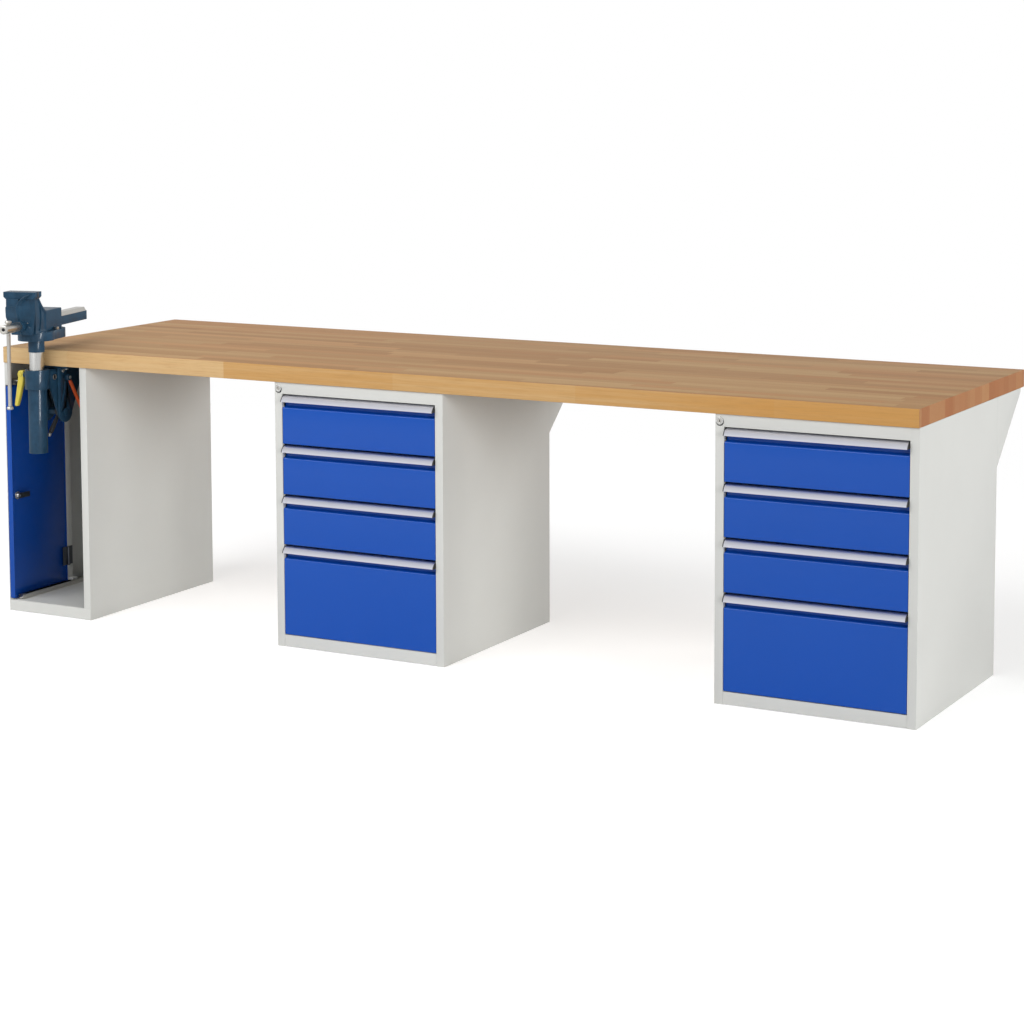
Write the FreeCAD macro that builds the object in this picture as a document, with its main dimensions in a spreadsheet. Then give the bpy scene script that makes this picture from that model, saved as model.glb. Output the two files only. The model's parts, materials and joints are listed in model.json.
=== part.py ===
"""A long workshop bench: a glued beech top on two steel drawer cabinets and a narrow cabinet with a
fold-away, height-adjustable vise. Millimetres; +X runs along the bench to the right, +Y to the back,
+Z up, and the origin lies on the floor under the middle of the top."""
import FreeCAD
import Part
import os
import re

import Sketcher

# Driving dimensions
DIMS = {
    # Worktop
    "top_length": 3000,
    "top_depth": 900,
    "top_thick": 50,
    "bench_height": 840,
    # Cabinets: folded sheet steel, front plane set back from the top's front edge
    "cab_width": 570,
    "vise_cab_width": 320,
    "cab_depth": 650,
    "front_setback": 5,
    "middle_offset": 1018,
    "sheet": 1.5,
    "stile": 25,
    "stile_return": 12,
    "top_rail": 34,
    "plinth": 36,
    "plinth_recess": 1,
    "plinth_gap": 2,
    "short_stile": 71,
    # Gussets that carry the top behind the drawer cabinets
    "bracket_reach": 212,
    "bracket_drop": 200,
    "bracket_toe": 10,
    "bracket_sheet": 2,
    "bracket_flange": 28,
    # Wood screws
    "screw_r": 3,
    "screw_head_r": 6,
    "screw_head": 4,
    "screw_bite": 30,
    "screw_end": 40,
    # Drawers: three equal slots from the top, the lowest takes the rest
    "slot_small": 150,
    "gap_side": 1.5,
    "gap_edge": 1.5,
    "front_depth": 18,
    "front_lip": 16,
    "front_top_gap": 3,
    "recess_top": 39,
    "recess_slope": 12,
    "tray_depth": 580,
    "tray_lift": 8,
    "tray_drop": 20,
    # Runner bars on the trays and the channels they slide in
    "runner_thick": 8.5,
    "runner_height": 21,
    "runner_up": 30,
    "runner_clear": 0.3,
    "rail_sheet": 1.5,
    "rail_gap": 1.5,
    "rail_length": 570,
    "standoff": 40,
    # Handle strips with end caps
    "handle_r": 24,
    "handle_thick": 2.5,
    "handle_back": 11,
    "cap_thick": 3,
    # Cabinet locks
    "lock_in": 13,
    "lock_below": 18,
    "lock_rim_r": 10.5,
    "lock_rim": 3,
    "lock_r": 8,
    "lock_depth": 20,
    "plug_r": 5.5,
    "plug_fit": 0.2,
    "key_width": 2,
    "key_height": 7,
    "key_depth": 6,
    "cam_thick": 3,
    "cam_half": 4,
    "cam_reach": 11,
    # Door of the vise cabinet, parked along the left wall on its tracks
    "door_gap": 1.5,
    "door_thick": 18,
    "door_width": 262,
    "door_foot": 4,
    "door_head": 4,
    "post_gap": 2,
    "post_width": 25,
    "hinge_r": 5,
    "hinge_height": 60,
    "hinge_leaf": 24,
    "hinge_inset": 60,
    "track_gap": 1.5,
    "track_width": 20,
    "track_height": 14,
    "track_wall": 2,
    "track_start": 15,
    "track_length": 580,
    "track_stop": 20,
    "glider_r": 6,
    "glider_arm": 8,
    "glider_clear": 0.3,
    "door_lock_in": 22,
    "door_lock_up": 366,
    "door_lock_r": 9,
    "door_lock_deep": 12,
    "tongue_reach": 45,
    "tongue_half": 8,
    # Console under the top that carries the lift on two pivot bolts
    "lift_in": 160,
    "column_out": 32,
    "console_plate": 10,
    "console_half": 32,
    "console_wing": 30,
    "cheek_thick": 8,
    "console_front": 23,
    "console_rear": 150,
    "pivot_back": 55,
    "pivot_drop": 150,
    "cheek_boss_r": 32,
    "pin_r": 8,
    "pin_fit": 0.3,
    "pin_head_r": 13,
    "pin_head": 4,
    # Swing bracket with collar and guide tube
    "arm_thick": 8,
    "arm_gap": 1,
    "arm_boss_r": 24,
    "arm_rear": 45,
    "collar_r": 37.5,
    "collar_height": 60,
    "collar_below": 9,
    "cross_tube_r": 11,
    "arm_bolt_r": 8,
    "arm_bolt_back": 11,
    "arm_bolt_below": 35,
    "arm_bolt_head": 3,
    "tube_r": 29,
    "tube_below": 11,
    "tube_length": 258,
    "tube_cap": 6,
    # Column, its spigot and the gas spring inside
    "column_r": 22.5,
    "column_fit": 0.3,
    "column_wall": 4.5,
    "column_sunk": 4,
    "column_length": 286,
    "spigot_r": 25,
    "spigot_height": 37,
    "spigot_plug": 30,
    "stud_r": 12,
    "stud_height": 20,
    "stud_fit": 0.3,
    "gas_body_r": 12,
    "gas_body_length": 213,
    "gas_rod_r": 4,
    "gas_rod_length": 254,
    "gas_fit": 0.3,
    # Clamp lever on the collar
    "clamp_below": 17,
    "clamp_forward": 12,
    "clamp_boss_r": 9,
    "clamp_boss_out": 39,
    "clamp_hub_r": 15,
    "clamp_hub": 14,
    "clamp_stud_r": 4,
    "clamp_stud": 10,
    "clamp_arm_r": 7,
    "clamp_arm": 102,
    "clamp_lean": 16,
    # Latch lever on the console
    "latch_back": 58,
    "latch_below": 40,
    "latch_shaft_r": 6,
    "latch_hub_r": 11,
    "latch_rod_r": 5.5,
    "latch_rod": 136,
    "latch_angle": 30,
    # Release handle on the bracket's cross tube
    "release_in": 15,
    "release_ring_r": 15,
    "release_ring": 14,
    "release_rod_r": 6,
    "release_rod": 84,
    "release_angle": 38,
    "release_knob_r": 8,
    # Vise: swivel foot, body and jaws, turned a little on the column
    "vise_turn": 13,
    "foot_r": 56,
    "foot_thick": 28,
    "lobe_r": 50,
    "lobe_back": 90,
    "foot_bolt_half": 42,
    "foot_bolt_back": 57,
    "foot_bolt_r": 5,
    "foot_nut_r": 8,
    "foot_nut": 8,
    "bar_half": 20,
    "bar_height": 40,
    "bar_lift": 4,
    "bar_fit": 0.3,
    "bar_rear": 320,
    "bar_chamfer": 7,
    "housing_half": 33,
    "housing_roof": 19,
    "housing_rear": 112,
    "jaw_rise": 130,
    "jaw_half": 53,
    "jaw_face": 86,
    "jaw_gap": 0.5,
    "plate_thick": 4.5,
    "lip_height": 20,
    "lip_depth": 18,
    "horn_half": 40,
    "horn_neck": 55,
    "horn_front": 7,
    "bow_half": 46,
    "bow_reach": 20,
    "bow_drop": 3,
    "bow_crown": 20,
    "bow_cheek": 46,
    "bow_heel": 10,
    "nose_half": 8,
    # Spindle, its nut and the tommy bar
    "spindle_up": 22,
    "spindle_r": 10,
    "spindle_rear": 190,
    "spindle_fit": 0.3,
    "bore_r": 12.5,
    "boss_r": 17,
    "boss_out": 11,
    "nut_start": 20,
    "nut_length": 35,
    "nut_r": 12,
    "nut_post_half": 8,
    "jaw_travel": 120,
    "head_r": 14,
    "head_length": 94,
    "tommy_in": 63,
    "tommy_r": 6,
    "tommy_fit": 0.3,
    "tommy_length": 250,
    "tommy_knob_r": 10.5,
    "tommy_knob": 11,
}

doc = FreeCAD.newDocument("workbench")
sheet = doc.addObject("Spreadsheet::Sheet", "dims")
for row, (alias, value) in enumerate(DIMS.items(), start=1):
    sheet.set(f"A{row}", alias)
    sheet.set(f"B{row}", str(value))
    sheet.setAlias(f"B{row}", alias)
doc.recompute()

ALIASES = re.compile(r"\b(" + "|".join(sorted(DIMS, key=len, reverse=True)) + r")\b")
ALONG = {
    "x": FreeCAD.Rotation(FreeCAD.Vector(1, 0, 1), 180),
    "y": FreeCAD.Rotation(FreeCAD.Vector(0, 1, 1), 180),
    "z": FreeCAD.Rotation(),
}
UP = FreeCAD.Vector(0, 0, 1)
NODES = {}


# Helpers: every size and place is an expression of the sheet's cells

def bind(text):
    """An expression with each size name read from the sheet."""
    return ALIASES.sub(r"dims.\1", str(text))


def seat(item, x="0", y="0", z="0"):
    """Ties an object's place to the sheet."""
    for axis, text in zip("xyz", (x, y, z)):
        item.setExpression(f"Placement.Base.{axis}", bind(text))
    return item


def tilt(item, axis, angle):
    """Turns an object about one axis by an angle of the sheet."""
    item.Placement.Rotation = FreeCAD.Rotation(axis, 1)
    item.setExpression("Placement.Rotation.Angle", bind(angle))
    return item


def box(x, y, z):
    """A block between two planes along each axis."""
    item = doc.addObject("Part::Box", "block")
    for size, (low, high) in zip(("Length", "Width", "Height"), (x, y, z)):
        item.setExpression(size, bind(f"({high}) - ({low})"))
    return seat(item, x[0], y[0], z[0])


def rod(axis, radius, span, across):
    """A round bar along one axis; across gives its place on the other two axes."""
    item = doc.addObject("Part::Cylinder", "rod")
    item.setExpression("Radius", bind(radius))
    item.setExpression("Height", bind(f"({span[1]}) - ({span[0]})"))
    item.Placement.Rotation = ALONG[axis]
    place = list(across)
    place.insert("xyz".index(axis), span[0])
    return seat(item, *place)


def prism(plane, outline, depth, at=("0", "0", "0")):
    """An outline of (across, up) points on an origin plane, padded by a depth and moved to its place."""
    body = doc.addObject("PartDesign::Body", "shape")
    sketch = body.newObject("Sketcher::SketchObject", "outline")
    support = [item for item in body.Origin.OriginFeatures if item.Role == plane]
    sketch.AttachmentSupport = [(support[0], "")]
    sketch.MapMode = "FlatFace"
    corners = [[float(sketch.evalExpression(bind(text))) for text in point] for point in outline]
    count = len(corners)
    for index in range(count):
        ends = [FreeCAD.Vector(*corners[(index + step) % count], 0) for step in (0, 1)]
        sketch.addGeometry(Part.LineSegment(*ends), False)
    for index in range(count):
        sketch.addConstraint(Sketcher.Constraint("Coincident", index, 2, (index + 1) % count, 1))
    for index, point in enumerate(outline):
        for kind, text, start in zip(("DistanceX", "DistanceY"), point, corners[index]):
            number = sketch.addConstraint(Sketcher.Constraint(kind, -1, 1, index, 1, start))
            sketch.setExpression(f"Constraints[{number}]", bind(text))
    pad = body.newObject("PartDesign::Pad", "pad")
    pad.Profile = sketch
    pad.setExpression("Length", bind(depth))
    return seat(body, *at)


def cut(base, *tools):
    """The base with every tool taken out of it."""
    for tool in tools:
        item = doc.addObject("Part::Cut", "cut")
        item.Base = base
        item.Tool = tool
        base = item
    return base


def fuse(*pieces):
    """One solid of several touching or overlapping pieces."""
    item = doc.addObject("Part::MultiFuse", "fusion")
    item.Shapes = list(pieces)
    item.Refine = True
    return item


def common(first, second):
    """What two solids share."""
    item = doc.addObject("Part::MultiCommon", "common")
    item.Shapes = [first, second]
    return item


def group(*pieces):
    """Several separate solids kept as one sub-part."""
    item = doc.addObject("Part::Compound", "group")
    item.Links = list(pieces)
    return item


def keep(label, item):
    """Names a finished sub-part."""
    item.Label = label
    NODES[label] = item
    return item


def reach(origin, hand, near, far):
    """A span between two distances from a plane, to its right for hand 1 and to its left for hand -1."""
    if hand > 0:
        return (f"{origin} + {near}", f"{origin} + {far}")
    return (f"{origin} - ({far})", f"{origin} - ({near})")


# Shared places
UNDER_TOP = "(bench_height - top_thick)"
LEFT_END = "(-top_length / 2)"
RIGHT_END = "(top_length / 2)"
TOP_FRONT = "(-top_depth / 2)"
FRONT = "(front_setback - top_depth / 2)"
BACK = "(front_setback - top_depth / 2 + cab_depth)"
SIDES = (1, -1)
DRAWER_CABINETS = {
    "middle": f"({LEFT_END} + middle_offset)",
    "right": f"({RIGHT_END} - cab_width)",
}


# Cabinets

def floor_pan(left, right):
    """Floor panel with the plinth strip folded down behind the stiles."""
    panel = box((f"{left} + sheet", f"{right} - sheet"), (f"{FRONT} + sheet", f"{BACK} - sheet"),
                ("plinth - sheet", "plinth"))
    strip = box((f"{left} + stile", f"{right} - stile"),
                (f"{FRONT} + plinth_recess", f"{FRONT} + plinth_recess + sheet"), ("plinth_gap", "plinth"))
    return fuse(panel, strip)


def back_panel(left, right):
    """Rear wall between the sides."""
    width = (f"{left} + sheet", f"{right} - sheet")
    return box(width, (f"{BACK} - sheet", BACK), ("plinth_gap", UNDER_TOP))


def side_wall(outer, hand):
    """Side wall whose front edge is folded in to a stile."""
    panel = box(reach(outer, hand, "0", "sheet"), (FRONT, BACK), ("0", UNDER_TOP))
    face = box(reach(outer, hand, "sheet", "stile"), (FRONT, f"{FRONT} + sheet"), ("0", UNDER_TOP))
    fold = box(reach(outer, hand, "(stile - sheet)", "stile"),
               (f"{FRONT} + sheet", f"{FRONT} + stile_return"), ("plinth", f"{UNDER_TOP} - top_rail"))
    return fuse(panel, face, fold)


def roof(left, right):
    """Top panel with the front rail folded down between the stiles."""
    panel = box((f"{left} + sheet", f"{right} - sheet"), (f"{FRONT} + sheet", f"{BACK} - sheet"),
                (f"{UNDER_TOP} - sheet", UNDER_TOP))
    rail_span = (f"{left} + stile", f"{right} - stile")
    rail = box(rail_span, (FRONT, f"{FRONT} + sheet"), (f"{UNDER_TOP} - top_rail", UNDER_TOP))
    fold = box(rail_span, (f"{FRONT} + sheet", f"{FRONT} + stile_return"),
               (f"{UNDER_TOP} - top_rail", f"{UNDER_TOP} - top_rail + sheet"))
    return fuse(panel, rail, fold)


def lock_place(left):
    """Axis of a cabinet lock in the left stile, as (x, z)."""
    return (f"{left} + lock_in", f"{UNDER_TOP} - lock_below")


def drawer_carcass(side, left):
    """Welded body of a drawer cabinet."""
    right = f"({left} + cab_width)"
    lock_hole = rod("y", "lock_r", (f"{FRONT} - sheet", f"{FRONT} + sheet * 2"), lock_place(left))
    walls = [cut(side_wall(left, 1), lock_hole), side_wall(right, -1)]
    panels = [roof(left, right), floor_pan(left, right), back_panel(left, right)]
    keep(f"{side}_carcass", group(*walls, *panels))


def vise_carcass():
    """Body of the vise cabinet: open front and top, a full stile on the right, a short one on the left."""
    left = LEFT_END
    right = f"({LEFT_END} + vise_cab_width)"
    left_panel = box(reach(left, 1, "0", "sheet"), (FRONT, BACK), ("0", UNDER_TOP))
    left_face = box(reach(left, 1, "sheet", "stile"), (FRONT, f"{FRONT} + sheet"),
                    (f"{UNDER_TOP} - short_stile", UNDER_TOP))
    left_wall = fuse(left_panel, left_face, top_flange(left, 1))
    right_wall = fuse(side_wall(right, -1), top_flange(right, -1))
    walls = drill(group(left_wall, right_wall), "sheet")
    keep("vise_carcass", group(walls, floor_pan(left, right), back_panel(left, right)))


def top_flange(outer, hand):
    """Upper edge of a side wall folded in under the top."""
    return box(reach(outer, hand, "sheet", "stile"), (f"{FRONT} + sheet", f"{BACK} - sheet"),
               (f"{UNDER_TOP} - sheet", UNDER_TOP))


def gusset(outer, hand):
    """Triangular bracket behind a cabinet, with flanges to the rear wall and under the top."""
    outline = (("0", "-bracket_drop"), ("bracket_reach", "-bracket_toe"),
               ("bracket_reach", "0"), ("0", "0"))
    plate_span = reach(outer, hand, "0", "bracket_sheet")
    plate = prism("YZ_Plane", outline, "bracket_sheet", (plate_span[0], BACK, UNDER_TOP))
    flange_span = reach(outer, hand, "bracket_sheet", "bracket_flange")
    shelf = box(flange_span, (BACK, f"{BACK} + bracket_reach"), (f"{UNDER_TOP} - bracket_sheet", UNDER_TOP))
    ledge = box(flange_span, (BACK, f"{BACK} + bracket_sheet"),
                (f"{UNDER_TOP} - bracket_drop + bracket_flange", UNDER_TOP))
    return fuse(plate, shelf, ledge)


def rear_brackets():
    """Two gussets behind each drawer cabinet."""
    pieces = []
    for left in DRAWER_CABINETS.values():
        pieces.append(gusset(left, 1))
        pieces.append(gusset(f"({left} + cab_width)", -1))
    keep("rear_brackets", drill(group(*pieces), "bracket_sheet"))


# Worktop and its screws

def screw_places():
    """Axis (x, y) of each screw and the thickness of the steel that it passes through."""
    places = []
    for left in DRAWER_CABINETS.values():
        for outer, hand in ((left, 1), (f"({left} + cab_width)", -1)):
            x = f"({outer} + {hand} * (bracket_sheet + bracket_flange) / 2)"
            places.append((x, f"({BACK} + bracket_reach - screw_end)", "bracket_sheet"))
            places.append((x, f"({BACK} + bracket_reach / 2)", "bracket_sheet"))
    for outer, hand in ((LEFT_END, 1), (f"({LEFT_END} + vise_cab_width)", -1)):
        x = f"({outer} + {hand} * (sheet + stile) / 2)"
        places.append((x, f"({BACK} - screw_end)", "sheet"))
        places.append((x, f"({FRONT} + cab_depth / 2)", "sheet"))
    for hand in SIDES:
        x = f"({COLUMN_X} + {hand} * (console_half + cheek_thick + console_wing / 2))"
        places.append((x, f"({TOP_FRONT} + console_rear - screw_end / 2)", "console_plate"))
        places.append((x, f"({TOP_FRONT} + console_front + screw_end / 2)", "console_plate"))
    return places


def worktop():
    """Beech board with blind holes for its screws."""
    board = box((LEFT_END, RIGHT_END), (TOP_FRONT, f"-{TOP_FRONT}"), (UNDER_TOP, "bench_height"))
    holes = [rod("z", "screw_r", (f"{UNDER_TOP} - sheet", f"{UNDER_TOP} + screw_bite"), (x, y))
             for x, y, steel in screw_places()]
    keep("worktop", cut(board, group(*holes)))


def screw(x, y, steel):
    """Pan-head wood screw from below, through the steel into the board."""
    head_top = f"({UNDER_TOP} - {steel})"
    head = rod("z", "screw_head_r", (f"{head_top} - screw_head", head_top), (x, y))
    shank = rod("z", "screw_r", (f"{head_top} - screw_head / 2", f"{UNDER_TOP} + screw_bite"), (x, y))
    return fuse(head, shank)


def drill(item, steel):
    """Takes the screws' clearance holes out of a steel part."""
    holes = [rod("z", "screw_r", (f"{UNDER_TOP} - {depth} * 2", f"{UNDER_TOP} + sheet"), (x, y))
             for x, y, depth in screw_places() if depth == steel]
    return cut(item, group(*holes))


# Drawers

RUNNER_IN = "(stile + rail_gap + rail_sheet + runner_clear)"
TRAY_IN = "(stile + rail_gap + rail_sheet + runner_clear + runner_thick)"
RAIL_START = f"({FRONT} + front_depth + rail_gap)"
HIGH_SLOTS = 3


def slots():
    """Bottom and height of each drawer's slot, from the top one down."""
    spans = [(f"({UNDER_TOP} - top_rail - {place} * slot_small)", "slot_small")
             for place in range(1, HIGH_SLOTS + 1)]
    spans.append(("plinth", f"({UNDER_TOP} - top_rail - plinth - {HIGH_SLOTS} * slot_small)"))
    return spans


def rail(outer, hand, level):
    """Fixed channel for one runner bar, on two stand-offs from the side wall."""
    half = "(runner_height / 2 + runner_clear)"
    length = (RAIL_START, f"{RAIL_START} + rail_length")
    web = box(reach(outer, hand, "stile + rail_gap", "stile + rail_gap + rail_sheet"), length,
              (f"{level} - {half} - rail_sheet", f"{level} + {half} + rail_sheet"))
    lip_span = reach(outer, hand, "stile + rail_gap", f"{TRAY_IN} - rail_gap")
    upper = box(lip_span, length, (f"{level} + {half}", f"{level} + {half} + rail_sheet"))
    lower = box(lip_span, length, (f"{level} - {half} - rail_sheet", f"{level} - {half}"))
    pieces = [web, upper, lower]
    for start in (f"{RAIL_START} + standoff", f"{RAIL_START} + rail_length - standoff * 2"):
        pieces.append(box(reach(outer, hand, "sheet", "stile + rail_gap"), (start, f"{start} + standoff"),
                          (f"{level} - runner_height / 2", f"{level} + runner_height / 2")))
    return fuse(*pieces)


def drawer_rails():
    """Rails on both sides of every drawer."""
    pieces = []
    for left in DRAWER_CABINETS.values():
        for bottom, height in slots():
            level = f"({bottom} + tray_lift + runner_up)"
            pieces.append(rail(left, 1, level))
            pieces.append(rail(f"({left} + cab_width)", -1, level))
    keep("drawer_rails", group(*pieces))


def drawer_box(label, left, bottom, height):
    """Open tray with a runner bar on each side."""
    right = f"({left} + cab_width)"
    start = f"({FRONT} + front_depth)"
    end = f"({FRONT} + front_depth + tray_depth)"
    low = f"({bottom} + tray_lift)"
    high = f"({bottom} + {height} - tray_drop)"
    outside = box((f"{left} + {TRAY_IN}", f"{right} - {TRAY_IN}"), (start, end), (low, high))
    inside = box((f"{left} + {TRAY_IN} + sheet", f"{right} - {TRAY_IN} - sheet"),
                 (f"{start} + sheet", f"{end} - sheet"), (f"{low} + sheet", f"{high} + sheet"))
    level = f"({low} + runner_up)"
    bars = [box(reach(outer, hand, RUNNER_IN, TRAY_IN), (start, end),
                (f"{level} - runner_height / 2", f"{level} + runner_height / 2"))
            for outer, hand in ((left, 1), (right, -1))]
    keep(f"{label}_box", group(cut(outside, inside), *bars))


def drawer_front(label, left, bottom, height):
    """Folded front: flat face, a slope back under the handle, end flanges and a lip to the tray."""
    face_top = f"({height} - recess_top)"
    slope_top = f"({height} - recess_top + recess_slope)"
    outer = (("front_depth", "gap_edge"), ("0", "gap_edge"), ("0", face_top),
             ("front_depth - sheet", slope_top), ("front_depth - sheet", f"{height} - front_top_gap"),
             ("front_depth", f"{height} - front_top_gap"))
    hollow = (("front_depth + sheet", "gap_edge + front_lip"),
              ("front_depth - sheet", "gap_edge + front_lip"),
              ("front_depth - sheet", "gap_edge + sheet"), ("sheet", "gap_edge + sheet"),
              ("sheet", f"{face_top} - sheet / 2"), ("front_depth", f"{slope_top} - sheet / 2"),
              ("front_depth + sheet", f"{slope_top} - sheet / 2"))
    width = "cab_width - 2 * stile - 2 * gap_side"
    at = (f"{left} + stile + gap_side", FRONT, bottom)
    shell = prism("YZ_Plane", outer, width, at)
    inside = prism("YZ_Plane", hollow, f"{width} - 2 * sheet", (f"{at[0]} + sheet", FRONT, bottom))
    keep(f"{label}_front", cut(shell, inside))


def quarter(radius, span, y, z):
    """Quarter of a round bar along X, between straight up and straight forward."""
    item = rod("x", radius, span, (y, z))
    item.Angle = 90
    return item


def drawer_handle(label, left, bottom, height):
    """Rounded aluminium grip strip with a black cap on each end."""
    start = f"({left} + stile + gap_side)"
    end = f"({left} + cab_width - stile - gap_side)"
    crown = f"({bottom} + {height} - front_top_gap)"
    axis = (f"{FRONT} + handle_back", f"{crown} - handle_r")
    wall = f"{FRONT} + front_depth - sheet"
    strip_span = (f"{start} + cap_thick", f"{end} - cap_thick")
    hollow = rod("x", "handle_r - handle_thick", (f"{start}", f"{end}"), axis)
    curve = cut(quarter("handle_r", strip_span, *axis), hollow)
    flange = box(strip_span, (axis[0], wall), (f"{crown} - handle_thick", crown))
    pieces = [fuse(curve, flange)]
    for span in ((start, f"{start} + cap_thick"), (f"{end} - cap_thick", end)):
        block = box(span, (axis[0], wall), (axis[1], crown))
        pieces.append(fuse(quarter("handle_r", span, *axis), block))
    keep(f"{label}_handle", group(*pieces))


def drawers():
    """Four drawers in each drawer cabinet, numbered from the top."""
    for side, left in DRAWER_CABINETS.items():
        for number, (bottom, height) in enumerate(slots(), start=1):
            label = f"{side}_drawer_{number}"
            drawer_box(label, left, bottom, height)
            drawer_front(label, left, bottom, height)
            drawer_handle(label, left, bottom, height)


# Cabinet locks

def lock_housings():
    """Round lock bodies in the stiles."""
    pieces = []
    for left in DRAWER_CABINETS.values():
        axis = lock_place(left)
        rim = rod("y", "lock_rim_r", (f"{FRONT} - lock_rim", FRONT), axis)
        barrel = rod("y", "lock_r", (f"{FRONT} - lock_rim / 2", f"{FRONT} + lock_depth"), axis)
        bore = rod("y", "plug_r + plug_fit", (f"{FRONT} - lock_rim * 2", f"{FRONT} + lock_depth * 2"), axis)
        pieces.append(cut(fuse(rim, barrel), bore))
    keep("lock_housings", group(*pieces))


def lock_plug(side, left):
    """Turning plug with its keyway in front and its cam behind."""
    x, z = lock_place(left)
    plug = rod("y", "plug_r", (f"{FRONT} - lock_rim", f"{FRONT} + lock_depth + plug_fit"), (x, z))
    cam = box((f"{x} - cam_half", f"{x} + cam_half"),
              (f"{FRONT} + lock_depth + plug_fit", f"{FRONT} + lock_depth + plug_fit + cam_thick"),
              (f"{z} - cam_reach", f"{z} + cam_half"))
    keyway = box((f"{x} - key_width / 2", f"{x} + key_width / 2"),
                 (f"{FRONT} - lock_rim * 2", f"{FRONT} - lock_rim + key_depth"),
                 (f"{z} - key_height / 2", f"{z} + key_height / 2"))
    keep(f"{side}_lock_plug", cut(fuse(plug, cam), keyway))


# Retractable door of the vise cabinet

DOOR_X = f"({LEFT_END} + sheet + door_gap)"
DOOR_FACE = f"({LEFT_END} + sheet + door_gap + door_thick)"
DOOR_REAR = f"({FRONT} + door_width)"
DOOR_LOW = "(plinth + door_foot)"
DOOR_HIGH = f"({UNDER_TOP} - short_stile - door_head)"
POST_Y = (f"{DOOR_REAR} + post_gap", f"{DOOR_REAR} + post_gap + post_width")
TRACK_X = f"({DOOR_FACE} + track_gap)"
TRACK_MID = f"({DOOR_FACE} + track_gap + track_width / 2)"
TRACK_Y = (f"{FRONT} + track_start", f"{FRONT} + track_start + track_length")
GLIDER_Y = f"({DOOR_REAR} + post_gap + post_width / 2)"
TRACK_TOP = f"({UNDER_TOP} - short_stile + track_height)"
TRACK_BASE = f"({UNDER_TOP} - short_stile)"


def door_pan():
    """Folded door panel and the inner sheet that closes it."""
    shell = box((DOOR_X, DOOR_FACE), (FRONT, DOOR_REAR), (DOOR_LOW, DOOR_HIGH))
    inner_y = (f"{FRONT} + sheet", f"{DOOR_REAR} - sheet")
    inner_z = (f"{DOOR_LOW} + sheet", f"{DOOR_HIGH} - sheet")
    hollow = box((f"{DOOR_X} + sheet", f"{DOOR_FACE} + sheet"), inner_y, inner_z)
    liner = box((f"{DOOR_FACE} - 2 * sheet", f"{DOOR_FACE} - sheet"), inner_y, inner_z)
    keep("door_pan", group(cut(shell, hollow), liner))


def door_post():
    """Hinge post behind the door, with an arm and a glider in each track."""
    post = box((DOOR_X, DOOR_FACE), POST_Y, (DOOR_LOW, DOOR_HIGH))
    arm_x = (DOOR_FACE, f"{TRACK_MID} + glider_r")
    low_arm_z = "(plinth + track_height + glider_clear)"
    low_arm = box(arm_x, POST_Y, (low_arm_z, f"{low_arm_z} + glider_arm"))
    low_peg = rod("z", "glider_r", ("plinth + track_wall + glider_clear", f"{low_arm_z} + glider_arm / 2"),
                  (TRACK_MID, GLIDER_Y))
    high_arm_z = f"({TRACK_BASE} - glider_clear)"
    high_arm = box(arm_x, POST_Y, (f"{high_arm_z} - glider_arm", high_arm_z))
    high_peg = rod("z", "glider_r",
                   (f"{high_arm_z} - glider_arm / 2", f"{TRACK_TOP} - track_wall - glider_clear"),
                   (TRACK_MID, GLIDER_Y))
    lintel = box((DOOR_X, DOOR_FACE), POST_Y, (DOOR_HIGH, high_arm_z))
    keep("door_post", fuse(post, low_arm, low_peg, lintel, high_arm, high_peg))


def door_hinges():
    """Two leaf hinges between the door and its post."""
    pieces = []
    middle = f"({DOOR_REAR} + post_gap / 2)"
    for low in (f"({DOOR_LOW} + hinge_inset)", f"({DOOR_HIGH} - hinge_inset - hinge_height)"):
        height = (low, f"{low} + hinge_height")
        leaf = box((DOOR_FACE, f"{DOOR_FACE} + sheet"),
                   (f"{middle} - hinge_leaf", f"{middle} + hinge_leaf"), height)
        pieces.append(fuse(leaf, rod("z", "hinge_r", height, (f"{DOOR_FACE} + hinge_r", middle))))
    keep("door_hinges", group(*pieces))


def door_tracks():
    """Channel on the floor and channel below the top for the door's gliders, and a stop block."""
    groove_x = (f"{TRACK_X} + track_wall", f"{TRACK_X} + track_width - track_wall")
    track_x = (TRACK_X, f"{TRACK_X} + track_width")
    groove_y = (f"{TRACK_Y[0]} - sheet", f"{TRACK_Y[1]} + sheet")
    low = cut(box(track_x, TRACK_Y, ("plinth", "plinth + track_height")),
              box(groove_x, groove_y, ("plinth + track_wall", "plinth + track_height * 2")))
    high = cut(box(track_x, TRACK_Y, (TRACK_BASE, TRACK_TOP)),
               box(groove_x, groove_y, (f"{TRACK_BASE} - track_height", f"{TRACK_TOP} - track_wall")))
    hanger = box((f"{LEFT_END} + sheet", TRACK_X), TRACK_Y, (f"{TRACK_TOP} - track_wall", TRACK_TOP))
    stop = box(groove_x, (TRACK_Y[0], f"{TRACK_Y[0]} + track_stop"),
               ("plinth + track_wall", "plinth + track_height"))
    keep("door_tracks", group(low, fuse(high, hanger), stop))


DOOR_LOCK_Y = f"({FRONT} + door_lock_in)"
TONGUE_X = f"({DOOR_FACE} - sheet + door_lock_deep)"


def door_lock():
    """Lock body on the inner face of the door."""
    axis = (DOOR_LOCK_Y, "door_lock_up")
    flange = rod("x", "door_lock_r + sheet * 2", (f"{DOOR_FACE} - sheet", f"{DOOR_FACE} + sheet"), axis)
    body = rod("x", "door_lock_r", (f"{DOOR_FACE} - sheet", TONGUE_X), axis)
    keep("door_lock", fuse(flange, body))


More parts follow.
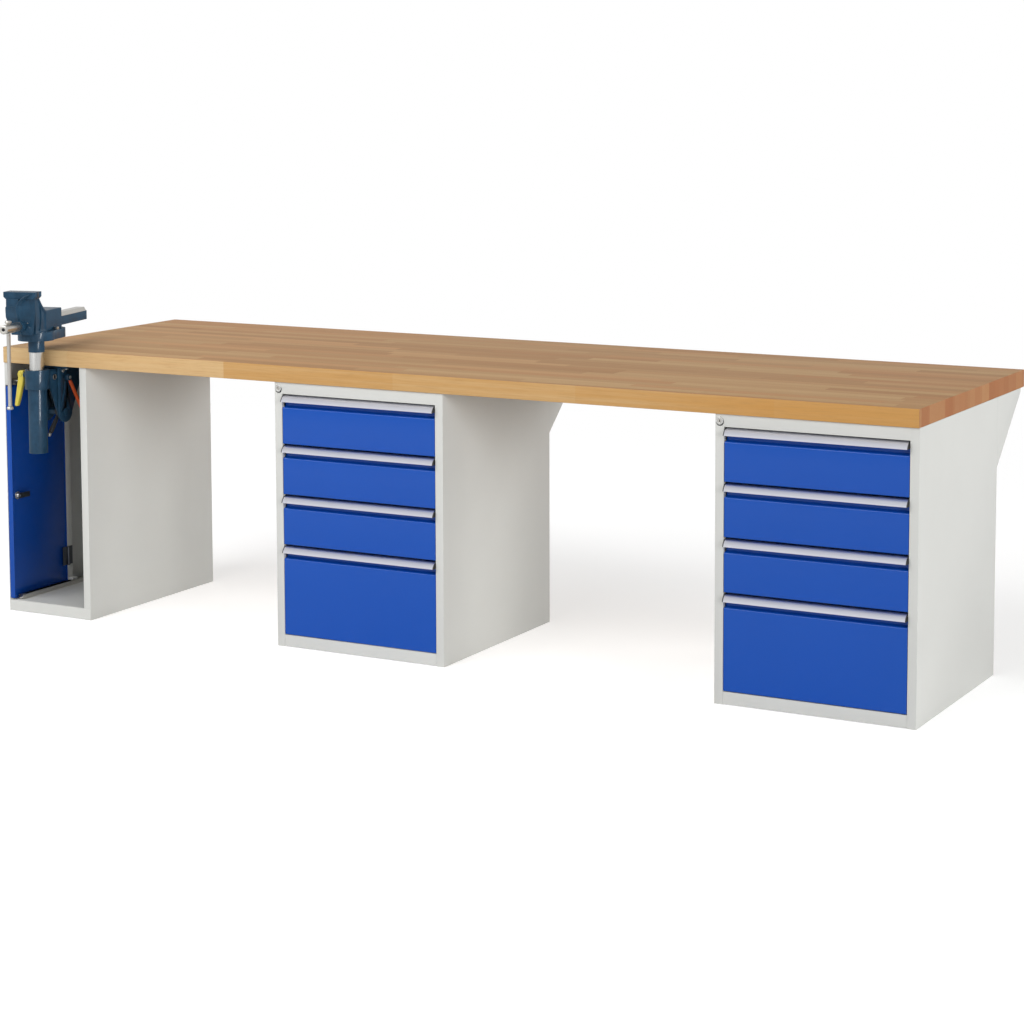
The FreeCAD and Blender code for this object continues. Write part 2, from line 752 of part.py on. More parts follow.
def door_lock_cam():
    """Tongue that turns behind the frame, on a short screw in the lock body."""
    start = f"({TONGUE_X} + plug_fit)"
    plate = box((start, f"{start} + cam_thick"),
                (f"{DOOR_LOCK_Y} - tongue_half", f"{DOOR_LOCK_Y} + tongue_reach"),
                ("door_lock_up - tongue_half", "door_lock_up + tongue_half"))
    screw_head = rod("x", "plug_r", (start, f"{start} + cam_thick * 2"), (DOOR_LOCK_Y, "door_lock_up"))
    keep("door_lock_cam", fuse(plate, screw_head))


# Lift for the vise

COLUMN_X = f"({LEFT_END} + lift_in)"
COLUMN_Y = f"({TOP_FRONT} - column_out)"
COLUMN_AXIS = (COLUMN_X, COLUMN_Y)
PIVOT_Y = f"({TOP_FRONT} + pivot_back)"
PIVOT_Z = f"({UNDER_TOP} - pivot_drop)"
COLLAR_TOP = f"({UNDER_TOP} - collar_below)"
COLLAR_LOW = f"({UNDER_TOP} - collar_below - collar_height)"
TUBE_TOP = f"({UNDER_TOP} - tube_below)"
TUBE_LOW = f"({UNDER_TOP} - tube_below - tube_length)"
COLUMN_TOP = "(bench_height - column_sunk)"
COLUMN_LOW = "(bench_height - column_sunk - column_length)"
CHEEK_OUT = "(console_half + cheek_thick)"
ARM_OUT = "(console_half - arm_gap)"
ARM_IN = "(console_half - arm_gap - arm_thick)"
LATCH_AXIS = (f"{TOP_FRONT} + latch_back", f"{UNDER_TOP} - latch_below")


def lift_console():
    """Plate under the top with two cheeks that hold the pivot bolts and the latch shaft."""
    plate = box((f"{COLUMN_X} - {CHEEK_OUT} - console_wing", f"{COLUMN_X} + {CHEEK_OUT} + console_wing"),
                (f"{TOP_FRONT} + console_front", f"{TOP_FRONT} + console_rear"),
                (f"{UNDER_TOP} - console_plate", UNDER_TOP))
    outline = (("console_front", "-console_plate"), ("console_front", "-pivot_drop"),
               ("pivot_back + cheek_boss_r", "-pivot_drop"), ("console_rear", "-console_plate"))
    pieces = [plate]
    for hand in SIDES:
        span = reach(COLUMN_X, hand, "console_half", CHEEK_OUT)
        pieces.append(prism("YZ_Plane", outline, "cheek_thick", (span[0], TOP_FRONT, UNDER_TOP)))
        pieces.append(rod("x", "cheek_boss_r", span, (PIVOT_Y, PIVOT_Z)))
    across = (f"{COLUMN_X} - {CHEEK_OUT} * 2", f"{COLUMN_X} + {CHEEK_OUT} * 2")
    pin_hole = rod("x", "pin_r", across, (PIVOT_Y, PIVOT_Z))
    latch_hole = rod("x", "latch_shaft_r + pin_fit", across, LATCH_AXIS)
    keep("lift_console", drill(cut(fuse(*pieces), pin_hole, latch_hole), "console_plate"))


def lift_pivot_bolts():
    """Two shoulder bolts that the swing bracket folds about, each through a cheek into an arm."""
    pieces = []
    for hand in SIDES:
        shank = reach(COLUMN_X, hand, f"{ARM_IN} + pin_fit", f"{CHEEK_OUT} + pin_head / 2")
        head = reach(COLUMN_X, hand, CHEEK_OUT, f"{CHEEK_OUT} + pin_head")
        pieces.append(fuse(rod("x", "pin_r", shank, (PIVOT_Y, PIVOT_Z)),
                           rod("x", "pin_head_r", head, (PIVOT_Y, PIVOT_Z))))
    keep("lift_pivot_bolts", group(*pieces))


def swing_bracket():
    """Collar round the guide tube, two arms to the pivot bolts with a cross tube, and the clamp's boss."""
    collar = rod("z", "collar_r", (COLLAR_LOW, COLLAR_TOP), COLUMN_AXIS)
    top = "-console_plate - arm_gap"
    outline = (("-column_out", top), ("-column_out", "-collar_below - collar_height"),
               ("-column_out + collar_r - arm_thick", "-collar_below - collar_height"),
               ("pivot_back - arm_boss_r", "-pivot_drop"), ("pivot_back + arm_boss_r", "-pivot_drop"),
               ("arm_rear", "-pivot_drop + arm_boss_r * 2"), ("arm_rear", top))
    pieces = [collar]
    holes = []
    for hand in SIDES:
        span = reach(COLUMN_X, hand, ARM_IN, ARM_OUT)
        pieces.append(prism("YZ_Plane", outline, "arm_thick", (span[0], TOP_FRONT, UNDER_TOP)))
        pieces.append(rod("x", "arm_boss_r", span, (PIVOT_Y, PIVOT_Z)))
        bolt_span = reach(COLUMN_X, hand, ARM_IN, CHEEK_OUT)
        holes.append(rod("x", "pin_r + pin_fit", bolt_span, (PIVOT_Y, PIVOT_Z)))
    pieces.append(rod("x", "cross_tube_r", (f"{COLUMN_X} - {ARM_IN}", f"{COLUMN_X} + {ARM_IN}"),
                      (PIVOT_Y, PIVOT_Z)))
    bolt_axis = (f"{TOP_FRONT} + arm_bolt_back", f"{UNDER_TOP} - arm_bolt_below")
    bolt_ends = [f"{COLUMN_X} {sign} ({ARM_OUT} + arm_bolt_head)" for sign in "-+"]
    pieces.append(rod("x", "arm_bolt_r", bolt_ends, bolt_axis))
    pieces.append(rod("x", "clamp_boss_r", (CLAMP_FACE, COLUMN_X), CLAMP_AXIS))
    holes.append(rod("z", "tube_r", (f"{COLLAR_LOW} - sheet", f"{COLLAR_TOP} + sheet"), COLUMN_AXIS))
    holes.append(rod("x", "clamp_stud_r + pin_fit", (f"{CLAMP_FACE} - sheet", f"{CLAMP_FACE} + clamp_stud"),
                     CLAMP_AXIS))
    keep("swing_bracket", cut(fuse(*pieces), *holes))


def guide_tube():
    """Tube that the column slides in, closed below by a cap."""
    outside = rod("z", "tube_r", (TUBE_LOW, TUBE_TOP), COLUMN_AXIS)
    inside = rod("z", "column_r + column_fit", (f"{TUBE_LOW} + tube_cap", f"{TUBE_TOP} + sheet"),
                 COLUMN_AXIS)
    keep("guide_tube", cut(outside, inside))


def lift_column():
    """Chromed column, hollow for the gas spring."""
    outside = rod("z", "column_r", (COLUMN_LOW, COLUMN_TOP), COLUMN_AXIS)
    inside = rod("z", "column_r - column_wall", (f"{COLUMN_LOW} - sheet", f"{COLUMN_TOP} + sheet"),
                 COLUMN_AXIS)
    keep("lift_column", cut(outside, inside))


SPIGOT_TOP = f"({COLUMN_TOP} + spigot_height)"


def lift_spigot():
    """Head of the column: a plug below, the seat of the vise and its pivot stud above."""
    plug = rod("z", "column_r - column_wall", (f"{COLUMN_TOP} - spigot_plug", COLUMN_TOP), COLUMN_AXIS)
    seat_disc = rod("z", "spigot_r", (COLUMN_TOP, SPIGOT_TOP), COLUMN_AXIS)
    stud = rod("z", "stud_r", (SPIGOT_TOP, f"{SPIGOT_TOP} + stud_height"), COLUMN_AXIS)
    keep("lift_spigot", fuse(plug, seat_disc, stud))


def gas_spring():
    """Pressure cylinder on the tube's cap and its rod under the spigot."""
    base = f"({TUBE_LOW} + tube_cap)"
    rod_top = f"({COLUMN_TOP} - spigot_plug)"
    outside = rod("z", "gas_body_r", (base, f"{base} + gas_body_length"), COLUMN_AXIS)
    bore = rod("z", "gas_rod_r + gas_fit", (f"{base} + sheet", f"{base} + gas_body_length + sheet"),
               COLUMN_AXIS)
    keep("gas_spring_body", cut(outside, bore))
    keep("gas_spring_rod", rod("z", "gas_rod_r", (f"{rod_top} - gas_rod_length", rod_top), COLUMN_AXIS))


CLAMP_AXIS = (f"{COLUMN_Y} - clamp_forward", f"{COLLAR_TOP} - clamp_below")
CLAMP_FACE = f"({COLUMN_X} - clamp_boss_out)"


def clamp_lever():
    """Hub with a threaded stud in the collar's boss, and an arm that hangs down and leans out."""
    start = f"({CLAMP_FACE} - plug_fit)"
    hub = rod("x", "clamp_hub_r", (f"{start} - clamp_hub", start), CLAMP_AXIS)
    stud = rod("x", "clamp_stud_r", (f"{start} - clamp_hub / 2", f"{start} + clamp_stud"), CLAMP_AXIS)
    arm = doc.addObject("Part::Cylinder", "arm")
    arm.setExpression("Radius", bind("clamp_arm_r"))
    arm.setExpression("Height", bind("clamp_arm"))
    tilt(arm, FreeCAD.Vector(0, 1, 0), "180 + clamp_lean")
    seat(arm, f"{start} - clamp_hub / 2", *CLAMP_AXIS)
    keep("clamp_lever", fuse(hub, stud, arm))


def latch_lever():
    """Latch shaft across the console with a rod on its right end, which clears the pivot bolt's head."""
    hub_start = f"({COLUMN_X} + {CHEEK_OUT} + pin_fit)"
    rod_x = f"({COLUMN_X} + {CHEEK_OUT} + pin_head + arm_gap + latch_rod_r)"
    shaft = rod("x", "latch_shaft_r", (f"{COLUMN_X} - {CHEEK_OUT}", hub_start), LATCH_AXIS)
    hub = rod("x", "latch_hub_r", (hub_start, f"{rod_x} + latch_rod_r"), LATCH_AXIS)
    arm = doc.addObject("Part::Cylinder", "arm")
    arm.setExpression("Radius", bind("latch_rod_r"))
    arm.setExpression("Height", bind("latch_rod"))
    tilt(arm, FreeCAD.Vector(1, 0, 0), "180 + latch_angle")
    seat(arm, rod_x, *LATCH_AXIS)
    keep("latch_lever", fuse(shaft, hub, arm))


def release_handle():
    """Ring on the bracket's cross tube between the arms, with a rod and a knob."""
    middle = f"({COLUMN_X} + release_in)"
    axis = (PIVOT_Y, PIVOT_Z)
    span = (f"{middle} - release_ring / 2", f"{middle} + release_ring / 2")
    ring = rod("x", "release_ring_r", span, axis)
    arm = doc.addObject("Part::Cylinder", "arm")
    arm.setExpression("Radius", bind("release_rod_r"))
    arm.setExpression("Height", bind("release_rod"))
    tilt(arm, FreeCAD.Vector(1, 0, 0), "180 - release_angle")
    seat(arm, middle, *axis)
    knob = doc.addObject("Part::Sphere", "knob")
    knob.setExpression("Radius", bind("release_knob_r"))
    seat(knob, middle, f"{PIVOT_Y} - release_rod * sin(release_angle)",
         f"{PIVOT_Z} - release_rod * cos(release_angle)")
    bore = rod("x", "cross_tube_r + pin_fit", (f"{span[0]} - sheet", f"{span[1]} + sheet"), axis)
    keep("release_handle", cut(fuse(ring, arm, knob), bore))


# Vise, drawn square to the bench about the column's axis and then turned on it

FOOT_LOW = SPIGOT_TOP
FOOT_TOP = f"({SPIGOT_TOP} + foot_thick)"
BAR_LOW = f"({FOOT_TOP} + bar_lift)"
BAR_TOP = f"({FOOT_TOP} + bar_lift + bar_height)"
HOUSING_TOP = f"({BAR_TOP} + housing_roof)"
JAW_TOP = f"({FOOT_TOP} + jaw_rise)"
LIP_LOW = f"({FOOT_TOP} + jaw_rise - lip_height)"
SPINDLE_Z = f"({BAR_LOW} + spindle_up)"
FIXED_FACE = "(-jaw_face + jaw_gap / 2 + plate_thick)"
MOVING_FACE = "(-jaw_face - jaw_gap / 2 - plate_thick)"
MOVING_FRONT = f"({MOVING_FACE} - lip_depth)"
NOSE_FRONT = f"({MOVING_FACE} - lip_depth - bow_reach)"
BOSS_FRONT = f"({MOVING_FACE} - lip_depth - boss_out)"


def on_column(label, item):
    """Sets a piece of the vise on the column and turns it."""
    tilt(item, UP, "vise_turn")
    keep(label, seat(item, *COLUMN_AXIS))


def both(half):
    """A span of the same reach to both sides."""
    return (f"-({half})", half)


def vise_foot():
    """Swivel foot: a round seat on the spigot with a lobe to the back for its clamping bolts."""
    height = (FOOT_LOW, FOOT_TOP)
    pieces = [rod("z", "foot_r", height, ("0", "0")), rod("z", "lobe_r", height, ("0", "lobe_back")),
              box(both("lobe_r"), ("0", "lobe_back"), height)]
    stud_span = (f"{FOOT_LOW} - sheet", f"{FOOT_LOW} + stud_height + stud_fit")
    stud_hole = rod("z", "stud_r + stud_fit", stud_span, ("0", "0"))
    bolt_holes = [rod("z", "foot_bolt_r", (f"{FOOT_LOW} + sheet", f"{FOOT_TOP} + sheet"), place)
                  for place in foot_bolt_places()]
    on_column("vise_foot", cut(fuse(*pieces), stud_hole, *bolt_holes))


def foot_bolt_places():
    """Axis of each clamping bolt in the foot."""
    return [(f"{hand} * foot_bolt_half", "foot_bolt_back") for hand in SIDES]


def foot_bolts():
    """Clamping bolts with hexagon heads on the foot."""
    pieces = []
    for x, y in foot_bolt_places():
        head = doc.addObject("Part::Prism", "head")
        head.Polygon = 6
        head.setExpression("Circumradius", bind("foot_nut_r"))
        head.setExpression("Height", bind("foot_nut"))
        seat(head, x, y, FOOT_TOP)
        shank = rod("z", "foot_bolt_r", (f"{FOOT_LOW} + sheet", f"{FOOT_TOP} + sheet"), (x, y))
        pieces.append(fuse(head, shank))
    on_column("foot_bolts", group(*pieces))


def vise_body():
    """Fixed jaw and housing with the channel of the guide bar, and the spindle's nut inside."""
    housing = box(both("housing_half"), (FIXED_FACE, "housing_rear"), (FOOT_TOP, HOUSING_TOP))
    outline = ((FIXED_FACE, FOOT_TOP), (FIXED_FACE, JAW_TOP), (f"{FIXED_FACE} + lip_depth", JAW_TOP),
               (f"{FIXED_FACE} + lip_depth", LIP_LOW), ("-horn_neck", LIP_LOW),
               ("-horn_front", HOUSING_TOP), ("-horn_front", FOOT_TOP))
    horn = prism("YZ_Plane", outline, "2 * horn_half", ("-horn_half", "0", "0"))
    lip = box(both("jaw_half"), (FIXED_FACE, f"{FIXED_FACE} + lip_depth"), (LIP_LOW, JAW_TOP))
    channel = box(both("bar_half + bar_fit"), (f"{FIXED_FACE} - sheet", "housing_rear + sheet"),
                  (f"{BAR_LOW} - bar_fit", f"{BAR_TOP} + bar_fit"))
    nut_span = ("nut_start", "nut_start + nut_length")
    nut = fuse(rod("y", "nut_r", nut_span, ("0", SPINDLE_Z)),
               box(both("nut_post_half"), nut_span, (f"{BAR_LOW} - bar_fit", SPINDLE_Z)))
    thread = rod("y", "spindle_r + spindle_fit", ("0", "nut_start + nut_length * 2"), ("0", SPINDLE_Z))
    on_column("vise_body", group(cut(fuse(housing, horn, lip), channel), cut(nut, thread)))


def jaw_plate(label, start):
    """Hardened plate across a jaw's lip."""
    on_column(label, group(box(both("jaw_half"), (start, f"{start} + plate_thick"), (LIP_LOW, JAW_TOP))))


def moving_jaw():
    """Bow-shaped front jaw with its lip, the spindle's boss and a hollow guide bar slotted for the nut."""
    plan = (("-bow_half", MOVING_FACE), ("-bow_half", MOVING_FRONT), ("-nose_half", NOSE_FRONT),
            ("nose_half", NOSE_FRONT), ("bow_half", MOVING_FRONT), ("bow_half", MOVING_FACE))
    low = f"({FOOT_TOP} - bow_drop)"
    hull = prism("XY_Plane", plan, f"{LIP_LOW} - {low}", ("0", "0", low))
    profile = ((MOVING_FACE, low), (f"{MOVING_FRONT} + bow_heel", low), (NOSE_FRONT, f"{LIP_LOW} - bow_cheek"),
               (NOSE_FRONT, f"{LIP_LOW} - bow_crown"), (MOVING_FRONT, LIP_LOW), (MOVING_FACE, LIP_LOW))
    bow = common(hull, prism("YZ_Plane", profile, "2 * bow_half", ("-bow_half", "0", "0")))
    lip = box(both("jaw_half"), (MOVING_FRONT, MOVING_FACE), (LIP_LOW, JAW_TOP))
    bar_outline = ((MOVING_FACE, BAR_LOW), ("bar_rear", BAR_LOW), ("bar_rear", f"{BAR_TOP} - bar_chamfer"),
                   ("bar_rear - bar_chamfer", BAR_TOP), (MOVING_FACE, BAR_TOP))
    bar = prism("YZ_Plane", bar_outline, "2 * bar_half", ("-bar_half", "0", "0"))
    boss = rod("y", "boss_r", (BOSS_FRONT, MOVING_FACE), ("0", SPINDLE_Z))
    bore = rod("y", "bore_r", (f"{NOSE_FRONT} - sheet", "spindle_rear + spindle_up"), ("0", SPINDLE_Z))
    slot_y = ("nut_start - nut_post_half", "nut_start + nut_length + jaw_travel + nut_post_half")
    slot = box(both("nut_post_half + spindle_fit"), slot_y, (f"{BAR_LOW} - sheet", SPINDLE_Z))
    on_column("moving_jaw", cut(fuse(bow, boss, lip, bar), bore, slot))


HEAD_REAR = f"({BOSS_FRONT} - spindle_fit)"
TOMMY_Y = f"({BOSS_FRONT} - tommy_in)"


def jaw_spindle():
    """Screw with its round head, cross-drilled for the tommy bar."""
    head = rod("y", "head_r", (f"{HEAD_REAR} - head_length", HEAD_REAR), ("0", SPINDLE_Z))
    screw_rod = rod("y", "spindle_r", (f"{HEAD_REAR} - spindle_r", "spindle_rear"), ("0", SPINDLE_Z))
    hole = rod("z", "tommy_r + tommy_fit", (f"{SPINDLE_Z} - head_r * 2", f"{SPINDLE_Z} + head_r * 2"),
               ("0", TOMMY_Y))
    on_column("jaw_spindle", cut(fuse(head, screw_rod), hole))


def tommy_bar():
    """Bar hanging in the spindle's head by its upper knob."""
    top = f"({SPINDLE_Z} + head_r + tommy_fit)"
    low = f"({SPINDLE_Z} + head_r + tommy_fit - tommy_length)"
    axis = ("0", TOMMY_Y)
    pieces = [rod("z", "tommy_r", (low, top), axis),
              rod("z", "tommy_knob_r", (top, f"{top} + tommy_knob"), axis),
              rod("z", "tommy_knob_r", (f"{low} - tommy_knob", low), axis)]
    on_column("tommy_bar", fuse(*pieces))


# Assembly

def top_screws():
    """All the wood screws that hold the top."""
    keep("top_screws", group(*[screw(*place) for place in screw_places()]))


def build():
    """Makes every sub-part."""
    worktop()
    vise_carcass()
    for side, left in DRAWER_CABINETS.items():
        drawer_carcass(side, left)
        lock_plug(side, left)
    rear_brackets()
    top_screws()
    drawer_rails()
    drawers()
    lock_housings()
    door_tracks()
    door_pan()
    door_post()
    door_hinges()
    door_lock()
    door_lock_cam()
    lift_console()
    lift_pivot_bolts()
    swing_bracket()
    guide_tube()
    lift_column()
    lift_spigot()
    gas_spring()
    clamp_lever()
    latch_lever()
    release_handle()
    vise_foot()
    foot_bolts()
    vise_body()
    jaw_plate("fixed_jaw_plate", f"({FIXED_FACE} - plate_thick)")
    moving_jaw()
    jaw_plate("moving_jaw_plate", MOVING_FACE)
    jaw_spindle()
    tommy_bar()
    doc.recompute()


def check():
    """Stops if anything failed to build."""
    failed = [item.Label for item in doc.Objects if {"Invalid", "Error"} & set(item.State)]
    for label, item in NODES.items():
        if item.Shape.isNull() or not item.Shape.isValid():
            failed.append(label)
    if failed:
        raise RuntimeError("did not build: " + ", ".join(sorted(set(failed))))


build()
check()
os.makedirs("parts", exist_ok=True)
for node_name, node in NODES.items():
    node.Shape.exportStep(os.path.join("parts", f"{node_name}.step"))
print(len(NODES), "sub-parts written")
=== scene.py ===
"""Looks of the workbench: beech top, powder-coated cabinets, aluminium handle strips and an enamelled vise.
Metres where nothing else is said; +X runs along the bench to the right, +Y to the back, +Z up."""
import json
import math

import bmesh
import bpy
from mathutils import Matrix, Vector


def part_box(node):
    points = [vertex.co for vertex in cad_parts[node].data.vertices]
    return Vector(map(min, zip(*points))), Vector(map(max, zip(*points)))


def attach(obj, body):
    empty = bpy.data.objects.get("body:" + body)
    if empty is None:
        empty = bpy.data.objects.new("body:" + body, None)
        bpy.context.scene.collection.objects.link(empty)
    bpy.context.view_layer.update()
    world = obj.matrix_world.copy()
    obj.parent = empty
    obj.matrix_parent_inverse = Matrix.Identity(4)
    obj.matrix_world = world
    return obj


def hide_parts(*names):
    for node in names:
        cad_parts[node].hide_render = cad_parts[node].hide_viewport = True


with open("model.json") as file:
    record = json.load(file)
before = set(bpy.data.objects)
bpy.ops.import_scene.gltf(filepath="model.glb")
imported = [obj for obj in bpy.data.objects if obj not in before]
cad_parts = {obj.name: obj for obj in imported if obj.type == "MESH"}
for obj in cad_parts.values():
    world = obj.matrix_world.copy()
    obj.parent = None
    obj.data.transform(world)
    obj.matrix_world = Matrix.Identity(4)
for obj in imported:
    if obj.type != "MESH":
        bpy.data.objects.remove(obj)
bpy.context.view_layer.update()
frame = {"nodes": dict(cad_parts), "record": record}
NODES = frame["nodes"]
BODY_OF = {node: body for body, nodes in frame["record"]["behaviour"]["bodies"].items() for node in nodes}
SLOT_OF = {part["node"]: part["material_slot"] for part in frame["record"]["subparts"]}
MM = 0.001
SIDES = {"left": -1, "right": 1}
TO_RIGHT = (1, 0, 0)
TO_BACK = (0, 1, 0)
UPWARD = (0, 0, 1)
CABINETS = ("middle", "right")
DRAWERS = [f"{side}_drawer_{number}" for side in CABINETS for number in (1, 2, 3, 4)]


# Shader building

class Shader:
    """A procedural material whose nodes are added one call at a time."""

    def __init__(self, name, **settings):
        self.material = bpy.data.materials.new(name)
        self.material.use_nodes = True
        self.tree = self.material.node_tree
        self.surface = self.tree.nodes["Principled BSDF"]
        self.set(self.surface, settings)

    def set(self, node, values):
        """Links a socket or sets a constant on each named input."""
        for key, value in values.items():
            socket = node.inputs[key.replace("_", " ") if isinstance(key, str) else key]
            if isinstance(value, bpy.types.NodeSocket):
                self.tree.links.new(value, socket)
            elif isinstance(value, tuple) and len(value) == 3 and socket.type == "RGBA":
                socket.default_value = (*value, 1)
            else:
                socket.default_value = value

    def add(self, kind, values=None, **properties):
        """A node with its properties and inputs."""
        node = self.tree.nodes.new(kind)
        for key, value in properties.items():
            setattr(node, key, value)
        self.set(node, values or {})
        return node

    def math(self, operation, first, second=0.0):
        """One step of arithmetic."""
        return self.add("ShaderNodeMath", {0: first, 1: second}, operation=operation).outputs[0]

    def weighed(self, first, first_share, second, second_share):
        """A sum of two values, each times its share."""
        first_part = self.math("MULTIPLY", first, first_share)
        second_part = self.math("MULTIPLY", second, second_share)
        return self.math("ADD", first_part, second_part)

    def vector(self, x=0.0, y=0.0, z=0.0):
        """A vector of three values."""
        return self.add("ShaderNodeCombineXYZ", {0: x, 1: y, 2: z}).outputs[0]

    def place(self):
        """Place on the object, in metres, as three sockets."""
        if not hasattr(self, "axes"):
            self.coordinates = self.add("ShaderNodeTexCoord").outputs["Object"]
            self.axes = self.add("ShaderNodeSeparateXYZ", {0: self.coordinates}).outputs
        return self.axes

    def noise(self, vector, scale, detail=2.0, roughness=0.5):
        """Soft noise between 0 and 1."""
        values = {"Vector": vector, "Scale": scale, "Detail": detail, "Roughness": roughness}
        return self.add("ShaderNodeTexNoise", values).outputs["Fac"]

    def stretched(self, x, y, z, detail=2.0, roughness=0.5):
        """Noise with its own scale along each axis."""
        axes = self.place()
        scaled = [self.math("MULTIPLY", axis, scale) for axis, scale in zip(axes, (x, y, z))]
        return self.noise(self.vector(*scaled), 1.0, detail, roughness)

    def chance(self, *values):
        """A steady random number for each set of whole numbers."""
        vector = self.vector(*values)
        return self.add("ShaderNodeTexWhiteNoise", {"Vector": vector}).outputs["Value"]

    def spread(self, value, low, high, start=0.0, end=1.0):
        """Maps a value from start and end to low and high."""
        values = {0: value, 1: start, 2: end, 3: low, 4: high}
        return self.add("ShaderNodeMapRange", values).outputs[0]

    def blend(self, factor, first, second):
        """A mix of two colours."""
        node = self.add("ShaderNodeMix", data_type="RGBA")
        self.set(node, {0: factor, 6: first, 7: second})
        return node.outputs[2]

    def bump(self, height, strength, depth):
        """Relief on the surface, added to any relief that is there already."""
        node = self.add("ShaderNodeBump", {"Height": height, "Strength": strength, "Distance": depth})
        before = self.surface.inputs["Normal"].links
        if before:
            self.tree.links.new(before[0].from_socket, node.inputs["Normal"])
        self.tree.links.new(node.outputs[0], self.surface.inputs["Normal"])


def shade(colour, factor):
    """A colour made lighter or darker."""
    return tuple(min(1.0, channel * factor) for channel in colour)


# Finishes: noise scales per metre, relief depths in metres, and the range that most of a noise lies in
MIDDLE = (0.3, 0.7)
COAT_CLOUDS = 5.0
COAT_GRAIN = 900.0
COAT_PEEL = 420.0
COAT_RELIEF = 0.0004
COAT_GLOSS = 0.3
LINE_LENGTHWISE = 2.5
LINE_ACROSS = 1400.0
METAL_CLOUDS = 14.0
METAL_RELIEF = 0.0002
CAST_SAND = 260.0
CAST_HOLLOWS = 38.0
SAND_RELIEF = 0.0005
HOLLOW_RELIEF = 0.0012
PLASTIC_TEXTURE = 700.0
PLASTIC_CLOUDS = 30.0
PLASTIC_RELIEF = 0.0003


def powder_coat(name, colour, roughness):
    """Baked powder paint: fine orange peel, faint clouds in colour and gloss."""
    paint = Shader(name)
    paint.place()
    clouds = paint.noise(paint.coordinates, COAT_CLOUDS, 3.0)
    grain = paint.noise(paint.coordinates, COAT_GRAIN, 2.0)
    cloudy = paint.blend(paint.spread(clouds, 0, 1, *MIDDLE), shade(colour, 0.985), shade(colour, 1.015))
    speckled = paint.blend(paint.spread(grain, 0, 0.12, 0.45, 0.8), cloudy, shade(colour, 0.8))
    gloss = paint.spread(clouds, roughness - 0.015, roughness + 0.015, 0.25, 0.75)
    paint.set(paint.surface, {"Base Color": speckled, "Roughness": gloss, "Specular IOR Level": COAT_GLOSS})
    paint.bump(paint.noise(paint.coordinates, COAT_PEEL, 2.0, 0.6), 0.12, COAT_RELIEF)
    return paint.material


def brushed_metal(name, colour, roughness, along, across=LINE_ACROSS):
    """Metal with a drawn or turned finish whose lines run along one axis."""
    metal = Shader(name, Metallic=1.0)
    scales = [LINE_LENGTHWISE if axis == along else across for axis in "xyz"]
    lines = metal.stretched(*scales, detail=3.0, roughness=0.65)
    clouds = metal.noise(metal.coordinates, METAL_CLOUDS, 2.0)
    tone = metal.blend(metal.spread(lines, 0, 1, *MIDDLE), shade(colour, 0.9), shade(colour, 1.06))
    metal.set(metal.surface, {
        "Base Color": metal.blend(metal.spread(clouds, 0, 0.35, 0.4, 0.75), tone, shade(colour, 0.92)),
        "Roughness": metal.spread(lines, roughness - 0.06, roughness + 0.08, *MIDDLE),
    })
    metal.bump(lines, 0.06, METAL_RELIEF)
    return metal.material


def enamel(name, colour, roughness):
    """Thick enamel on a casting: soft sand texture under a glossy skin."""
    paint = Shader(name)
    paint.place()
    sand = paint.noise(paint.coordinates, CAST_SAND, 4.0, 0.55)
    hollows = paint.noise(paint.coordinates, CAST_HOLLOWS, 3.0)
    tone = paint.blend(paint.spread(hollows, 0, 1, *MIDDLE), shade(colour, 0.82), shade(colour, 1.18))
    paint.set(paint.surface, {
        "Base Color": paint.blend(paint.spread(sand, 0, 0.4, 0.5, 0.8), tone, shade(colour, 1.35)),
        "Roughness": paint.spread(hollows, roughness - 0.05, roughness + 0.1, *MIDDLE),
        "Specular IOR Level": 0.12,
        "Coat Weight": 0.2,
        "Coat Roughness": 0.08,
    })
    paint.bump(hollows, 0.25, HOLLOW_RELIEF)
    paint.bump(sand, 0.35, SAND_RELIEF)
    return paint.material


def moulded(name, colour, roughness):
    """Moulded plastic with a fine eroded texture."""
    plastic = Shader(name)
    plastic.place()
    texture = plastic.noise(plastic.coordinates, PLASTIC_TEXTURE, 3.0, 0.6)
    clouds = plastic.noise(plastic.coordinates, PLASTIC_CLOUDS, 2.0)
    tone = plastic.blend(plastic.spread(clouds, 0, 1, *MIDDLE), shade(colour, 0.9), shade(colour, 1.08))
    plastic.set(plastic.surface, {
        "Base Color": tone,
        "Roughness": plastic.spread(texture, roughness - 0.06, roughness + 0.08, *MIDDLE),
    })
    plastic.bump(texture, 0.2, PLASTIC_RELIEF)
    return plastic.material


# Beech: sizes of staves and rings, then noise scales along X, Y and Z, then colours and seeds
STAVE_WIDTH = 0.043
STAVE_LENGTH = 0.62
STAVE_SHORTEST = 0.75
STAVE_LONGEST = 1.35
ROW_SHIFT = 37.0
RING_STEP = 0.0042
RING_SWAY = 0.016
HEART_ROWS = (-1.2, 2.2)
HEART_HEIGHT = (0.55, 0.8)
GLUE_LINE = (0.0002, 0.0007)
END_BLOCK = 0.062
RIGHT_END = (0.7, 1.15)
SWAY = (1.6, 9.0, 9.0)
FIBRE = (7.0, 900.0, 900.0)
STREAK = (1.1, 70.0, 70.0)
FLECK = (170.0, 1500.0, 900.0)
LONG_GRAIN = (1.3, 40.0, 90.0)
EDGE_GRAIN = (11.0, 240.0, 240.0)
END_PORES = 1100.0
WOOD_RELIEF = 0.0003
BEECH_LIGHT = (0.585, 0.385, 0.195)
BEECH_DARK = (0.405, 0.215, 0.097)
BEECH_RED = (0.56, 0.275, 0.125)
BEECH_PORE = (0.25, 0.105, 0.035)
BEECH_STRAW = (0.61, 0.44, 0.235)
BEECH_GOLD = (0.52, 0.29, 0.098)
BEECH_HONEY = (0.53, 0.26, 0.06)
END_RED = (0.29, 0.102, 0.044)
END_TAN = (0.36, 0.175, 0.08)
ROW_SEED = 3.0
TONE_SEED = 1.0
